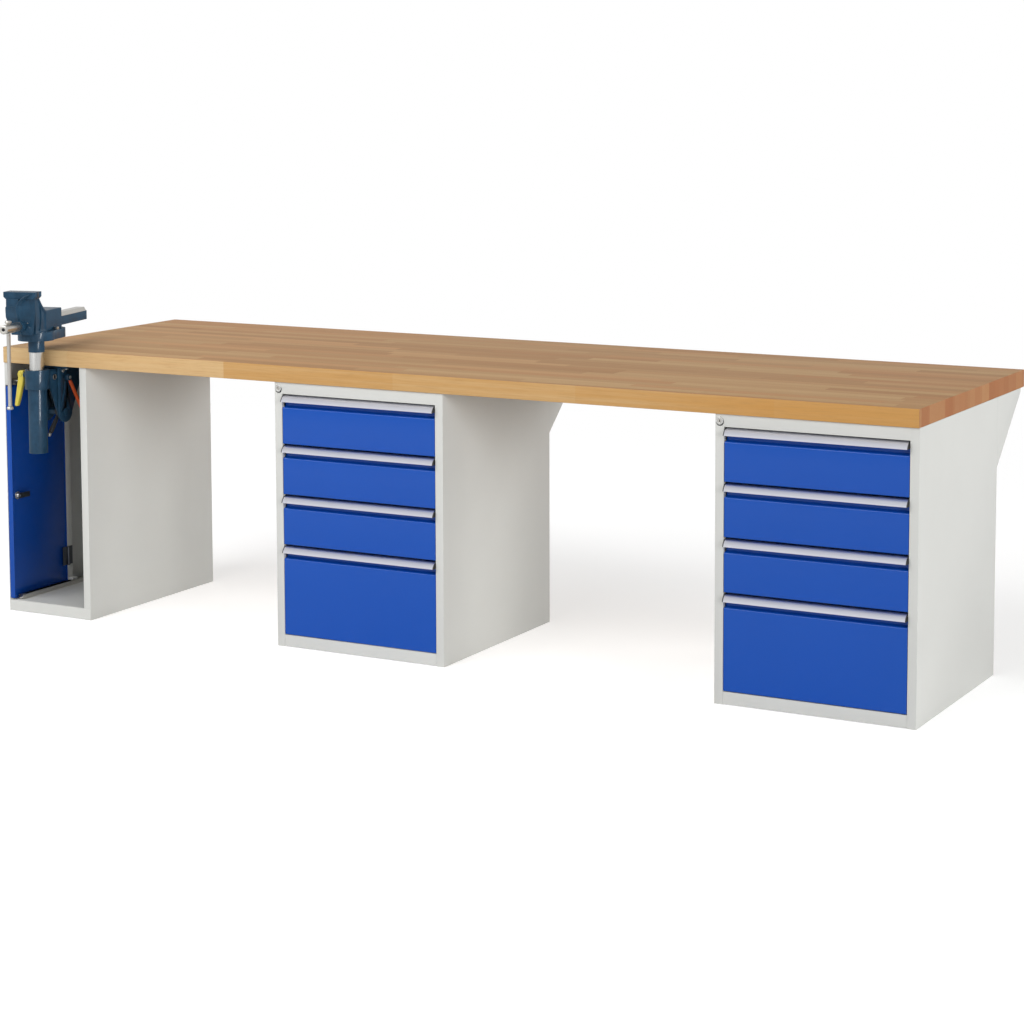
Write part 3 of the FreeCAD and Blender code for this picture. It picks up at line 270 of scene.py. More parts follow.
RING_SEED = 2.0
TINT_SEED = 5.0
BLOCK_SEED = 9.0


def beech(name):
    """Glued beech board: staves of random length, each with its own growth rings, tone and fleck."""
    wood = Shader(name)
    x, y, z = wood.place()
    row = wood.math("FLOOR", wood.math("DIVIDE", y, STAVE_WIDTH))
    row_chance = wood.chance(row, ROW_SEED)
    length = wood.spread(row_chance, STAVE_LENGTH * STAVE_SHORTEST, STAVE_LENGTH * STAVE_LONGEST)
    along = wood.math("ADD", wood.math("DIVIDE", x, length), wood.math("MULTIPLY", row_chance, ROW_SHIFT))
    stave = wood.math("FLOOR", along)
    tone_chance = wood.chance(row, stave, TONE_SEED)
    ring_chance = wood.chance(row, stave, RING_SEED)
    tint_chance = wood.chance(row, stave, TINT_SEED)

    sway = wood.stretched(*SWAY, 2.0)
    heart_row = wood.math("ADD", row, wood.spread(ring_chance, *HEART_ROWS))
    centre_y = wood.math("MULTIPLY", heart_row, STAVE_WIDTH)
    centre_z = wood.spread(tint_chance, *HEART_HEIGHT)
    across = wood.math("SUBTRACT", y, centre_y)
    up = wood.math("SUBTRACT", z, centre_z)
    squares = wood.math("ADD", wood.math("MULTIPLY", across, across), wood.math("MULTIPLY", up, up))
    distance = wood.math("SQRT", squares)
    swayed = wood.math("ADD", distance, wood.math("MULTIPLY", sway, RING_SWAY))
    turns = wood.math("DIVIDE", swayed, RING_STEP)
    ring = wood.math("FRACT", turns)
    late = wood.spread(ring, 0.0, 1.0, 0.45, 1.0)

    fibre = wood.stretched(*FIBRE, 3.0, 0.6)
    streak = wood.stretched(*STREAK, 3.0, 0.55)
    fleck_noise = wood.stretched(*FLECK, 1.0)
    fleck = wood.spread(fleck_noise, 0.0, 1.0, 0.62, 0.72)

    tone = wood.weighed(tone_chance, 0.55, streak, 0.45)
    body = wood.blend(wood.spread(tone, 0.1, 0.9, 0.2, 0.8), BEECH_DARK, BEECH_LIGHT)
    tinted = wood.blend(wood.math("MULTIPLY", wood.math("POWER", tint_chance, 2.5), 0.5), body, BEECH_RED)
    ringed = wood.blend(wood.math("MULTIPLY", late, 0.16), tinted, BEECH_DARK)
    fibred = wood.blend(wood.spread(fibre, 0.0, 0.28, 0.45, 0.75), ringed, BEECH_DARK)
    flecked = wood.blend(wood.math("MULTIPLY", fleck, 0.3), fibred, BEECH_PORE)

    row_edge = wood.math("PINGPONG", wood.math("DIVIDE", y, STAVE_WIDTH), 0.5)
    end_edge = wood.math("PINGPONG", along, 0.5)
    seam = wood.math("MINIMUM", wood.math("MULTIPLY", row_edge, STAVE_WIDTH),
                     wood.math("MULTIPLY", end_edge, length))
    glue = wood.spread(seam, 1.0, 0.0, *GLUE_LINE)
    glued = wood.blend(wood.math("MULTIPLY", glue, 0.4), flecked, BEECH_PORE)

    normal = wood.add("ShaderNodeTexCoord").outputs["Normal"]
    facing = wood.add("ShaderNodeSeparateXYZ", {0: normal}).outputs
    end_face = wood.math("ABSOLUTE", facing[0])
    front_face = wood.spread(facing[1], 0.85, 0.0, -1.0, 0.0)
    long_grain = wood.stretched(*LONG_GRAIN, 4.0, 0.6)
    edge_tone = wood.weighed(tone_chance, 0.5, long_grain, 0.6)
    plain_edge = wood.blend(wood.spread(edge_tone, 0.0, 1.0, 0.3, 0.75), BEECH_GOLD, BEECH_STRAW)
    grain = wood.stretched(*EDGE_GRAIN, 3.0, 0.7)
    right_end = wood.spread(x, 0.0, 0.75, *RIGHT_END)
    warm_edge = wood.blend(right_end, plain_edge, BEECH_HONEY)
    edge = wood.blend(wood.spread(grain, 0.0, 0.45, 0.48, 0.72), warm_edge, shade(BEECH_GOLD, 0.72))
    pores = wood.noise(wood.coordinates, END_PORES, 2.0, 0.7)
    block = wood.chance(wood.math("FLOOR", wood.math("DIVIDE", y, END_BLOCK)), BLOCK_SEED)
    block_tone = wood.blend(wood.spread(block, 0.0, 1.0, 0.25, 0.75), END_RED, END_TAN)
    end_tone = wood.blend(wood.spread(pores, 0.0, 0.3, 0.45, 0.75), block_tone, BEECH_PORE)
    end_mix = wood.blend(0.15, end_tone, glued)
    edged = wood.blend(front_face, glued, edge)
    colour = wood.blend(wood.math("MULTIPLY", end_face, 0.9), edged, end_mix)

    wood.set(wood.surface, {
        "Base Color": colour,
        "Roughness": wood.spread(fibre, 0.52, 0.64, *MIDDLE),
        "Specular IOR Level": 0.12,
    })
    wood.bump(fibre, 0.12, WOOD_RELIEF)
    wood.bump(glue, 0.15, -WOOD_RELIEF)
    return wood.material


PAINT_GREY = (0.6, 0.603, 0.578)
PAINT_BLUE = (0.005, 0.072, 0.4)
CAST_BLUE = (0.014, 0.046, 0.085)
ALUMINIUM = (0.88, 0.89, 1.0)
CHROME = (0.68, 0.68, 0.66)
ZINC = (0.62, 0.6, 0.56)
DARK_STEEL = (0.12, 0.13, 0.15)
BLACK_PAINT = (0.012, 0.012, 0.014)
YELLOW = (0.56, 0.46, 0.06)
ORANGE = (0.76, 0.1, 0.016)
BLACK_PLASTIC = (0.014, 0.014, 0.016)
MATERIALS = {
    "beech": beech("beech"),
    "cabinet_grey": powder_coat("cabinet_grey", PAINT_GREY, 0.42),
    "drawer_blue": powder_coat("drawer_blue", PAINT_BLUE, 0.17),
    "aluminium": brushed_metal("aluminium", ALUMINIUM, 0.42, "x"),
    "vise_blue": enamel("vise_blue", CAST_BLUE, 0.36),
    "chrome": brushed_metal("chrome", CHROME, 0.28, "z", 700.0),
    "zinc_steel": brushed_metal("zinc_steel", ZINC, 0.32, "y", 500.0),
    "jaw_steel": brushed_metal("jaw_steel", DARK_STEEL, 0.34, "x", 800.0),
    "black_steel": powder_coat("black_steel", BLACK_PAINT, 0.38),
    "yellow_grip": moulded("yellow_grip", YELLOW, 0.42),
    "orange_grip": moulded("orange_grip", ORANGE, 0.4),
    "black_grip": moulded("black_grip", BLACK_PLASTIC, 0.45),
}


# Mesh building

SAME_POINT = 1e-6
WELD_REACH = 1e-5
CORNER_SHARE = 0.45


def piece(name, body, slot, verts, faces):
    """A new mesh that rides on a body and takes a finish."""
    mesh = bpy.data.meshes.new(name)
    mesh.from_pydata([tuple(v) for v in verts], [], faces)
    work = bmesh.new()
    work.from_mesh(mesh)
    bmesh.ops.remove_doubles(work, verts=work.verts, dist=SAME_POINT)
    bmesh.ops.recalc_face_normals(work, faces=work.faces)
    work.to_mesh(mesh)
    work.free()
    item = bpy.data.objects.new(name, mesh)
    bpy.context.scene.collection.objects.link(item)
    mesh.materials.append(MATERIALS[slot])
    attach(item, body)
    return item


def soften(item, width, angle=35, segments=3):
    """Rounds the sharp edges and keeps flat faces flat."""
    if item.name in NODES:
        weld = item.modifiers.new("weld", "WELD")
        weld.merge_threshold = WELD_REACH
    bevel = item.modifiers.new("round", "BEVEL")
    bevel.width = width
    bevel.segments = segments
    bevel.limit_method = "ANGLE"
    bevel.angle_limit = math.radians(angle)
    bevel.harden_normals = True
    item.data.shade_smooth()


def extrusion(name, body, slot, outline, low, high):
    """A closed (y, z) outline carried along X."""
    count = len(outline)
    verts = [Vector((x, *point)) for x in (low, high) for point in outline]
    faces = [(i, (i + 1) % count, count + (i + 1) % count, count + i) for i in range(count)]
    faces += [tuple(range(count)), tuple(range(2 * count - 1, count - 1, -1))]
    return piece(name, body, slot, verts, faces)


def arc(centre, radius, start, end, steps):
    """Points on an arc in a plane, angles in degrees."""
    angles = [math.radians(start + (end - start) * i / steps) for i in range(steps + 1)]
    return [(centre[0] + radius * math.cos(a), centre[1] + radius * math.sin(a)) for a in angles]


def rounded(points, radius, steps=5):
    """A polygon of (a, b) points with each corner turned into a small arc."""
    result = []
    count = len(points)
    for i, point in enumerate(points):
        here = Vector(point)
        before = Vector(points[i - 1]) - here
        after = Vector(points[(i + 1) % count]) - here
        reach = min(radius, before.length * CORNER_SHARE, after.length * CORNER_SHARE)
        start = here + before.normalized() * reach
        end = here + after.normalized() * reach
        for step in range(steps + 1):
            t = step / steps
            result.append(tuple(start * (1 - t) ** 2 + here * 2 * t * (1 - t) + end * t ** 2))
    return result


# Worktop

TOP_EDGE = 0.0022


def worktop():
    """Beech board with eased edges."""
    low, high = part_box("worktop")
    outline = rounded([(low.y, low.z), (high.y, low.z), (high.y, high.z), (low.y, high.z)], TOP_EDGE)
    board = extrusion("beech_board", "frame", "beech", outline, low.x, high.x)
    soften(board, TOP_EDGE * 0.8, 60)
    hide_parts("worktop")


# Drawers

SHEET = 0.0015
FOLD = 0.0042
FACE_DROP = 0.037
SLOPE = 0.003
FRONT_EDGE = 0.0008
# Handle strip: arc from its top to its lip, in degrees
GRIP_R = 0.024
GRIP_WALL = 0.0025
GRIP_TOP = 90
GRIP_END = 166
GRIP_STEPS = 20
GRIP_EDGE = 0.0004
CAP = 0.003
CAP_END = GRIP_END + 3
CAP_EDGE = 0.0007


def drawer_front(label):
    """Folded sheet front with rounded bends, closed at its ends."""
    node = f"{label}_front"
    low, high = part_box(node)
    front, back = low.y, high.y
    face_top = high.z - FACE_DROP
    profile = [(back, low.z), (front, low.z), (front, face_top), (back - SHEET, face_top + SLOPE),
               (back - SHEET, high.z), (back, high.z)]
    outline = rounded(profile, FOLD, 6)
    item = extrusion(f"{label}_blue_front", label, "drawer_blue", outline, low.x, high.x)
    soften(item, FRONT_EDGE, 60, 2)
    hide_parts(node)


def drawer_grip(label):
    """Drawn aluminium strip with a rounded lower lip, between two black end caps."""
    node = f"{label}_handle"
    low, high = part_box(node)
    axis = (low.y + GRIP_R, high.z - GRIP_R)
    outer = arc(axis, GRIP_R, GRIP_TOP, GRIP_END, GRIP_STEPS)
    lip_centre = arc(axis, GRIP_R - GRIP_WALL / 2, GRIP_END, GRIP_END, 1)[0]
    lip = arc(lip_centre, GRIP_WALL / 2, GRIP_END, GRIP_END + 180, 8)
    inner = arc(axis, GRIP_R - GRIP_WALL, GRIP_END, GRIP_TOP, GRIP_STEPS)
    outline = [(high.y, high.z)] + outer + lip + inner + [(high.y, high.z - GRIP_WALL)]
    strip = extrusion(f"{label}_grip", label, "aluminium", outline, low.x + CAP, high.x - CAP)
    soften(strip, GRIP_EDGE, 50, 2)
    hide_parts(node)
    edge = arc(axis, GRIP_R, GRIP_TOP, CAP_END, GRIP_STEPS)
    cap_outline = [(high.y, high.z)] + edge + [(high.y, edge[-1][1])]
    for end, start in (("left", low.x), ("right", high.x - CAP)):
        cap = extrusion(f"{label}_cap_{end}", label, "black_grip", cap_outline, start, start + CAP)
        soften(cap, CAP_EDGE, 50, 2)


# Sheet steel, screws and small fittings kept from the frame, with the radius of their edges

EDGE = {
    "vise_carcass": 0.0006, "middle_carcass": 0.0006, "right_carcass": 0.0006, "rear_brackets": 0.0007,
    "drawer_rails": 0.0005, "lock_housings": 0.0006, "door_tracks": 0.0005, "lift_console": 0.0015,
    "lift_pivot_bolts": 0.0008, "door_pan": 0.0006, "door_post": 0.0006, "door_hinges": 0.0005,
    "door_lock": 0.0006, "door_lock_cam": 0.0006, "swing_bracket": 0.0012, "guide_tube": 0.001,
    "lift_column": 0.0006, "lift_spigot": 0.0012, "vise_foot": 0.003, "foot_bolts": 0.0008,
    "fixed_jaw_plate": 0.0006, "moving_jaw_plate": 0.0006, "jaw_spindle": 0.001,
}
EDGE_BY_ENDING = {"_box": 0.0006, "_plug": 0.0004}
# Small fittings inside the vise cabinet given dark steel as painted shade, since they sit in the cabinet's
# shade
SHADE_PAINTED_FITTINGS = {"door_hinges": "jaw_steel", "door_lock_cam": "jaw_steel"}


def dress_frame():
    """Finish and edge radii for every CAD node; those that are replaced keep theirs unseen."""
    for node in NODES:
        item = NODES[node]
        # the dark steel on the hinges and lock cam is painted shade
        slot = SHADE_PAINTED_FITTINGS.get(node, SLOT_OF[node])
        item.data.materials.clear()
        item.data.materials.append(MATERIALS[slot])
        width = EDGE.get(node)
        for ending, radius in EDGE_BY_ENDING.items():
            if node.endswith(ending):
                width = radius
        if width:
            soften(item, width)


PLINTH_LOW = 0.0015
PLINTH_HIGH = 0.0345
PLINTH_SHEET = 0.001
PLINTH_ROUND = 0.0006
PLINTH_EDGE = 0.0003


def plinth_strip():
    """Sheet strip across the whole foot of the vise cabinet, with rounded edges."""
    low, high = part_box("vise_carcass")
    front = low.y - PLINTH_SHEET
    corners = [(low.y, PLINTH_LOW), (front, PLINTH_LOW), (front, PLINTH_HIGH), (low.y, PLINTH_HIGH)]
    outline = rounded(corners, PLINTH_ROUND, 4)
    strip = extrusion("vise_plinth_strip", BODY_OF["vise_carcass"], "cabinet_grey", outline, low.x, high.x)
    soften(strip, PLINTH_EDGE, 50, 2)


# Shapes given in millimetres: x across, y to the back, z up from the floor

# The column's axis, in metres from the bench's origin
COLUMN = (-1.34, -0.482)
VISE_TURN = math.radians(13)
LEAST_RADIUS = 1e-4


def on_column(points):
    """Points of the vise's own frame moved to their place on the bench."""
    move = Matrix.Translation((*COLUMN, 0)) @ Matrix.Rotation(VISE_TURN, 4, "Z")
    return [move @ (Vector(point) * MM) for point in points]


def beside_column(points):
    """Points given from the column's axis, square to the bench."""
    return [Vector((*COLUMN, 0)) + Vector(point) * MM for point in points]


def as_given(points):
    """Points given from the bench's own origin."""
    return [Vector(point) * MM for point in points]


def loft(name, body, slot, rings, place):
    """A closed skin through rings that have equally many points."""
    count = len(rings[0])
    verts = place([point for ring in rings for point in ring])
    faces = []
    for start in range(0, (len(rings) - 1) * count, count):
        for i in range(count):
            j = (i + 1) % count
            faces.append((start + i, start + j, start + count + j, start + count + i))
    last = len(verts)
    faces += [tuple(range(count)), tuple(range(last - 1, last - count - 1, -1))]
    return piece(name, body, slot, verts, faces)


def along_y(outline, *stations):
    """Rings of an (x, z) outline at places along Y."""
    return [[(x, y, z) for x, z in outline] for y in stations]


def along_x(outline, *stations):
    """Rings of a (y, z) outline at places along X."""
    return [[(x, y, z) for y, z in outline] for x in stations]


def level(corners, z):
    """A ring of (x, y) corners at one height."""
    return [(x, y, z) for x, y in corners]


def circle(centre, side, other, radius, steps):
    """A round ring in the plane of two directions."""
    turn = [2 * math.pi * i / steps for i in range(steps)]
    return [centre + (side * math.cos(a) + other * math.sin(a)) * radius for a in turn]


def block_outline(half, low, high):
    """Corners of an upright rectangle."""
    return [(-half, low), (half, low), (half, high), (-half, high)]


def lathe(name, body, slot, profile, origin, axis, place, steps=40):
    """A turned shape: (along, radius) points carried round an axis, with flats kept sharp."""
    axis = Vector(axis).normalized()
    side = axis.orthogonal().normalized()
    other = axis.cross(side)
    rings = []
    for along, radius in profile:
        rings.append(circle(Vector(origin) + axis * along, side, other, max(radius, LEAST_RADIUS), steps))
    item = loft(name, body, slot, rings, place)
    item.data.shade_smooth()
    item.data.set_sharp_from_angle(angle=math.radians(40))
    return item


def dish(item, chosen, rim, depth):
    """Sinks the chosen faces inside a rim."""
    work = bmesh.new()
    work.from_mesh(item.data)
    faces = [face for face in work.faces if chosen(face)]
    bmesh.ops.inset_region(work, faces=faces, thickness=rim, depth=-depth * 0.15, use_even_offset=True)
    bmesh.ops.inset_region(work, faces=faces, thickness=depth * 1.6, depth=-depth, use_even_offset=True)
    work.to_mesh(item.data)
    work.free()


# Vise, about the column's axis; edge radii and dishes in metres

CAST_EDGE = 0.0012
HORN_EDGE = 0.0014
HOUSING_EDGE = 0.0015
CROWN_EDGE = 0.0007
JAW_Z = (1011, 1031)
LIP_HALF = 53
LIP_WEDGE = 7
LIP_RISE = 5
LIP_FALL = 2
MOVING_LIP = (-108.75, -90.75)
FIXED_LIP = (-81.25, -63.25)
SPINDLE_Z = 927
SPINDLE_END = -214.05
TOMMY_Y = -182.75
TOMMY_Z = (680.3, 952.3)
RIB = 2.3
RIB_STEPS = 12


def jaw_lip(name, body, span):
    """Upper lip of a jaw with wedge-shaped ends."""
    low, high = JAW_Z
    foot = LIP_HALF - LIP_WEDGE
    outline = [(-LIP_HALF, high), (-LIP_HALF, low + LIP_RISE), (-foot, low - LIP_FALL),
               (foot, low - LIP_FALL), (LIP_HALF, low + LIP_RISE), (LIP_HALF, high)]
    item = loft(name, body, "vise_blue", along_y(outline, *span), on_column)
    soften(item, CAST_EDGE, 25)


def bead(name, body, line):
    """A rounded rib of the casting along a line of points."""
    points = [Vector(point) for point in line]
    rings = []
    for i, point in enumerate(points):
        along = (points[min(i + 1, len(points) - 1)] - points[max(i - 1, 0)]).normalized()
        side = along.cross(Vector(TO_BACK)).normalized()
        rings.append(circle(point, side, along.cross(side), RIB, RIB_STEPS))
    item = loft(name, body, "vise_blue", rings, on_column)
    item.data.shade_smooth()


# Height, half width and nose of the moving jaw's bow, from its foot up
BOW = [(898, 35, -97), (909, 37.5, -100), (931, 40.5, -110), (954, 43.5, -122), (974, 44.5, -128.2),
       (984, 44.5, -128), (992, 44.5, -125.5)]
BOW_HALF = 44.5
BOW_REAR = -90.75
CHEEK_REAR = -93
LEDGE_FRONT = -114
# Height and front corner of the bow's raised right shoulder
SHOULDER = [(1000, 5, -124.5), (1006, 9, -123), (1013, 16, -119.5), (1018, 23, -116), (1022, 32, -112.2),
            (1025, 40, -109)]
SHOULDER_END = 43
# Height and set-back of the left cheek above its ledge
NECK = [(986.5, 5), (1000, 5.3), (1010, 5.6)]
# Direction of the right cheek's large faces, how near to it and how large they are, and their rim and depth
CHEEK_OUTWARD = (0.65, -0.76, 0)
CHEEK_FACING = 0.88
CHEEK_AREA = 1.2e-4
CHEEK_DISH = (0.0025, 0.007)


def left_cheek():
    """Left half of the bow, with a ledge below its neck."""
    rings = []
    for z, half, nose in BOW[:-1]:
        front = min(max(LEDGE_FRONT, nose + 6), CHEEK_REAR - 2)
        corners = [(3, BOW_REAR), (-half, BOW_REAR), (-half, front),
                   (-5, nose + 2.5), (0, nose), (3, nose + 1.5)]
        rings.append(level(corners, z))
    half, nose = BOW[-1][1:]
    for z, back in NECK:
        front = nose + back
        corners = [(3, BOW_REAR), (-half, BOW_REAR), (-half, LEDGE_FRONT + back),
                   (-5, front), (0, front), (3, front)]
        rings.append(level(corners, z))
    item = loft("jaw_left_cheek", "jaw", "vise_blue", rings, on_column)
    soften(item, CAST_EDGE, 12)
    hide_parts("moving_jaw")


def right_cheek():
    """Right half of the bow, dished inside a rib that runs up the nose and over the shoulder."""
    rings = []
    for z, half, nose in BOW:
        corners = [(-2, BOW_REAR), (-2, nose + 1), (0, nose), (5, nose + 2.2),
                   (half, CHEEK_REAR), (half, BOW_REAR)]
        rings.append(level(corners, z))
    for z, x, y in SHOULDER:
        corners = [(x - 2, BOW_REAR), (x - 2, y + 1), (x, y), (min(x + 4, SHOULDER_END), y + 1.9),
                   (BOW_HALF, CHEEK_REAR), (BOW_HALF, BOW_REAR)]
        rings.append(level(corners, z))
    item = loft("jaw_right_cheek", "jaw", "vise_blue", rings, on_column)
    outward = Matrix.Rotation(VISE_TURN, 3, "Z") @ Vector(CHEEK_OUTWARD)

    def large_front(face):
        return face.normal.dot(outward) > CHEEK_FACING and face.calc_area() > CHEEK_AREA

    dish(item, large_front, *CHEEK_DISH)
    soften(item, HORN_EDGE, 18)
    ridge = [(0, nose, z) for z, _, nose in BOW] + [(x, y, z) for z, x, y in SHOULDER]
    bead("jaw_nose_rib", "jaw", ridge)


# Guide bar: half width, foot and seat of its crown, ends, and the crown with its tapered tip
BAR_HALF = 20
BAR_LOW = 905
BAR_SEAT = 933.5
BAR_ROOT = -92
BAR_END = 320
CROWN_HALF = 14
CROWN_TOP = 945
CROWN_TIP = 6
CROWN_CUT = 5
CROWN_TAPER = 0.9


def moving_jaw():
    """Bow of two cheeks, a lip, a boss and a guide bar with a ground crown."""
    left_cheek()
    right_cheek()
    jaw_lip("jaw_moving_lip", "jaw", MOVING_LIP)
    boss = [(-119.75, 13), (-119.75, 15.8), (-118.6, 17), (BAR_ROOT, 17)]
    lathe("jaw_boss", "jaw", "vise_blue", boss, (0, 0, SPINDLE_Z), TO_BACK, on_column)
    guide = rounded(block_outline(BAR_HALF, BAR_LOW, BAR_SEAT), 1.5, 3)
    stations = along_y(guide, BAR_ROOT, BAR_END - 3, BAR_END)
    bar = loft("jaw_guide_bar", "jaw", "vise_blue", stations, on_column)
    soften(bar, CAST_EDGE, 40)
    low, shoulder = BAR_SEAT - 0.5, BAR_SEAT + 0.5
    crown = [(-BAR_HALF, low), (BAR_HALF, low), (BAR_HALF, shoulder), (CROWN_HALF, CROWN_TOP),
             (-CROWN_HALF, CROWN_TOP), (-BAR_HALF, shoulder)]
    tip = [(x * CROWN_TAPER, BAR_END, min(z, CROWN_TOP - CROWN_CUT)) for x, z in crown]
    rings = along_y(crown, BAR_ROOT, BAR_END - CROWN_TIP) + [tip]
    ground = loft("jaw_bar_crown", "jaw", "zinc_steel", rings, on_column)
    soften(ground, CROWN_EDGE, 20)


# Fixed jaw: foot, half width and face of the horn, and the hollow slope behind its lip
BODY_LOW = 901
HORN_HALF = 40
HORN_FACE = -81.25
HORN_LIP = [(-63, 1012), (-57, 1009)]
SLOPE_START = (-55, 1009)
SLOPE_RUN = 48
SLOPE_FALL = 45
SLOPE_CURVE = 1.35
SLOPE_STEPS = 10
HORN_BACK = -5
HORN_FACING = 0.95
HORN_DISH = (0.004, 0.003)
# Rib on the fixed jaw's flank
FLANK_RIB = [(37.6, -52, 1004), (37.6, -44, 990), (37.6, -39.5, 965), (37.6, -39.5, 940), (37.6, -44, 918),
             (37.6, -52, 905)]
# Housing round the guide bar: outside and bore as half width, foot and top, then front and back
HOUSING_OUTER = (33, BODY_LOW, 964)
HOUSING_BORE = (20.3, 904.7, 945.3)
HOUSING_Y = (-81, 112)


def fixed_horn():
    """Fixed jaw with a hollow slope behind its lip, dished on both flanks."""
    start_y, start_z = SLOPE_START
    steps = [i / SLOPE_STEPS for i in range(SLOPE_STEPS + 1)]
    slope = [(start_y + SLOPE_RUN * t, start_z - SLOPE_FALL * (1 - (1 - t) ** SLOPE_CURVE)) for t in steps]
    outline = [(HORN_FACE, BODY_LOW), (HORN_FACE, 1012)] + HORN_LIP + slope + [(HORN_BACK, BODY_LOW)]
    horn = loft("jaw_fixed_horn", "vise", "vise_blue", along_x(outline, -HORN_HALF, HORN_HALF), on_column)
    across = Matrix.Rotation(VISE_TURN, 3, "Z") @ Vector(TO_RIGHT)
    dish(horn, lambda face: abs(face.normal.dot(across)) > HORN_FACING, *HORN_DISH)
    soften(horn, HORN_EDGE, 25)
    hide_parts("vise_body")
    bead("jaw_flank_rib", "vise", FLANK_RIB)


def vise_body():
    """Fixed jaw and the open housing round the guide bar."""
    fixed_horn()
    jaw_lip("jaw_fixed_lip", "vise", FIXED_LIP)
    outer = rounded(block_outline(*HOUSING_OUTER), 3, 4)
    inner = rounded(block_outline(*HOUSING_BORE), 0.5, 4)
    front, back = HOUSING_Y
    rings = along_y(inner, front) + along_y(outer, front, back) + along_y(inner, back)
    count = len(outer)
    faces = []
    for ring in range(len(rings)):
        here = ring * count
        beyond = (ring + 1) % len(rings) * count
        for i in range(count):
            j = (i + 1) % count
            faces.append((here + i, here + j, beyond + j, beyond + i))
    verts = on_column([point for ring in rings for point in ring])
    housing = piece("vise_housing", "vise", "vise_blue", verts, faces)
    soften(housing, HOUSING_EDGE, 35)


def spindle_fittings():
    """Ring with a centre hole on the spindle's end, a black cup inside the hole as painted shade, and the
    tommy bar with its rounded knobs.
    """
    end = (0, SPINDLE_END, SPINDLE_Z)
    ring = [(0.6, 6), (0.6, 13.2), (-1.2, 12.6), (-2, 11.6), (-2, 6.4), (-1.6, 5.6), (0.6, 5.6)]
    lathe("spindle_end_ring", "spindle", "zinc_steel", ring, end, TO_BACK, on_column)
    # Black cup deep in the ring's hole: painted shade of the hollow
    shade_cup = [(0.8, 5.7), (-0.6, 5.7), (-0.6, 0)]
    lathe("spindle_hole_painted_shade", "spindle", "black_steel", shade_cup, end, TO_BACK, on_column)
    low, high = TOMMY_Z
    knob = [(0, 4), (0.6, 7.5), (2.2, 9.6), (4.5, 10.5), (7, 10.3), (9.2, 8.8), (10.2, 7), (10.6, 5.2),
            (11.6, 5.2), (12, 6)]
    profile = [(low + a, r) for a, r in knob] + [(high - a, r) for a, r in reversed(knob)]
    bar = lathe("tommy_rod", "tommy", "zinc_steel", profile, (0, TOMMY_Y, 0), UPWARD, on_column)
    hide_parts("tommy_bar")


# Levers and screws of the lift, from the column's axis; leans in degrees, edge radius in metres

CLAMP_X = -50
CLAMP_Y = (-19, -5)
CLAMP_Z = 764
CLAMP_R = 13.5
CLAMP_SEAT = -39.5
CLAMP_EDGE = 0.0042
LATCH_AT = (90, 750)
LATCH_ROD_X = 50.5
LATCH_LEAN = 30
RELEASE_AT = (87, 640)
RELEASE_X = 15
RELEASE_LEAN = 38
ARM_PIN = (0, 43, 755)
CONSOLE_SCREW = (0, 75, 772)


def clamp_lever():
    """Moulded lever with a round head beside the collar and an arm that leans out."""
    head = arc((CLAMP_X, CLAMP_Z), CLAMP_R, 90, 215, 14)
    tip = [(-77, 669), (-75, 665), (-71, 663.5), (-66.5, 664.5), (-63.5, 668)]
    root = [(-41, CLAMP_Z - 24), (CLAMP_SEAT, CLAMP_Z - 18)]
    outline = [(CLAMP_SEAT, CLAMP_Z + CLAMP_R)] + head + tip + root
    item = loft("clamp_handle", "clamp", "yellow_grip", along_y(outline, *CLAMP_Y), beside_column)
    soften(item, CLAMP_EDGE, 50, 4)
    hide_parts("clamp_lever")
    cap = [(0, 0), (0, 5.5), (-1.2, 6), (-2.2, 5.2), (-2.6, 0)]
    lathe("clamp_cap", "clamp", "yellow_grip", cap, (CLAMP_X, -18.6, CLAMP_Z), TO_BACK, beside_column, 24)


def latch_lever():
    """Blue hub on the latch shaft with a bright screw, and a dipped rod that leans back."""
    y, z = LATCH_AT
    hub = [(40.4, 9.5), (40.4, 10.4), (41.2, 11), (54.5, 11), (56, 9.8), (56, 0)]
    item = lathe("latch_hub", "latch", "vise_blue", hub, (0, y, z), TO_RIGHT, beside_column)
    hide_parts("latch_lever")
    screw = [(55.5, 5), (57.4, 5), (58, 4.3), (58, 2.2), (57.2, 1.8), (57.2, 0)]
    lathe("latch_screw", "latch", "zinc_steel", screw, (0, y, z), TO_RIGHT, beside_column, 24)
    lean = math.radians(LATCH_LEAN)
    down = (0, math.sin(lean), -math.cos(lean))
    grip = [(6, 4.6), (16, 4.8), (20, 5.5), (128, 5.7), (132.5, 5), (135.2, 3.4), (136, 1.2), (136, 0)]
    lathe("latch_rod", "latch", "orange_grip", grip, (LATCH_ROD_X, y, z), down, beside_column)


def release_handle():
    """Black lever on a ring round the cross tube, with a bright tip."""
    y, z = RELEASE_AT
    ring = [(8, 11.4), (8, 14.2), (8.8, 15), (21.2, 15), (22, 14.2), (22, 11.4), (8, 11.4)]
    item = lathe("release_ring", "release", "black_steel", ring, (0, y, z), TO_RIGHT, beside_column)
    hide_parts("release_handle")
    lean = math.radians(RELEASE_LEAN)
    down = (0, -math.sin(lean), -math.cos(lean))
    grip = [(13, 5.5), (30, 6), (34, 6.8), (70, 7.4), (76, 6.4), (78, 4.2), (78.5, 2)]
    lathe("release_grip", "release", "black_grip", grip, (RELEASE_X, y, z), down, beside_column)
    tip = [(77, 2), (79, 4.4), (82, 5.6), (85.5, 5.8), (88.6, 4.4), (90.4, 2.2), (91, 0)]
    lathe("release_tip", "release", "zinc_steel", tip, (RELEASE_X, y, z), down, beside_column, 28)


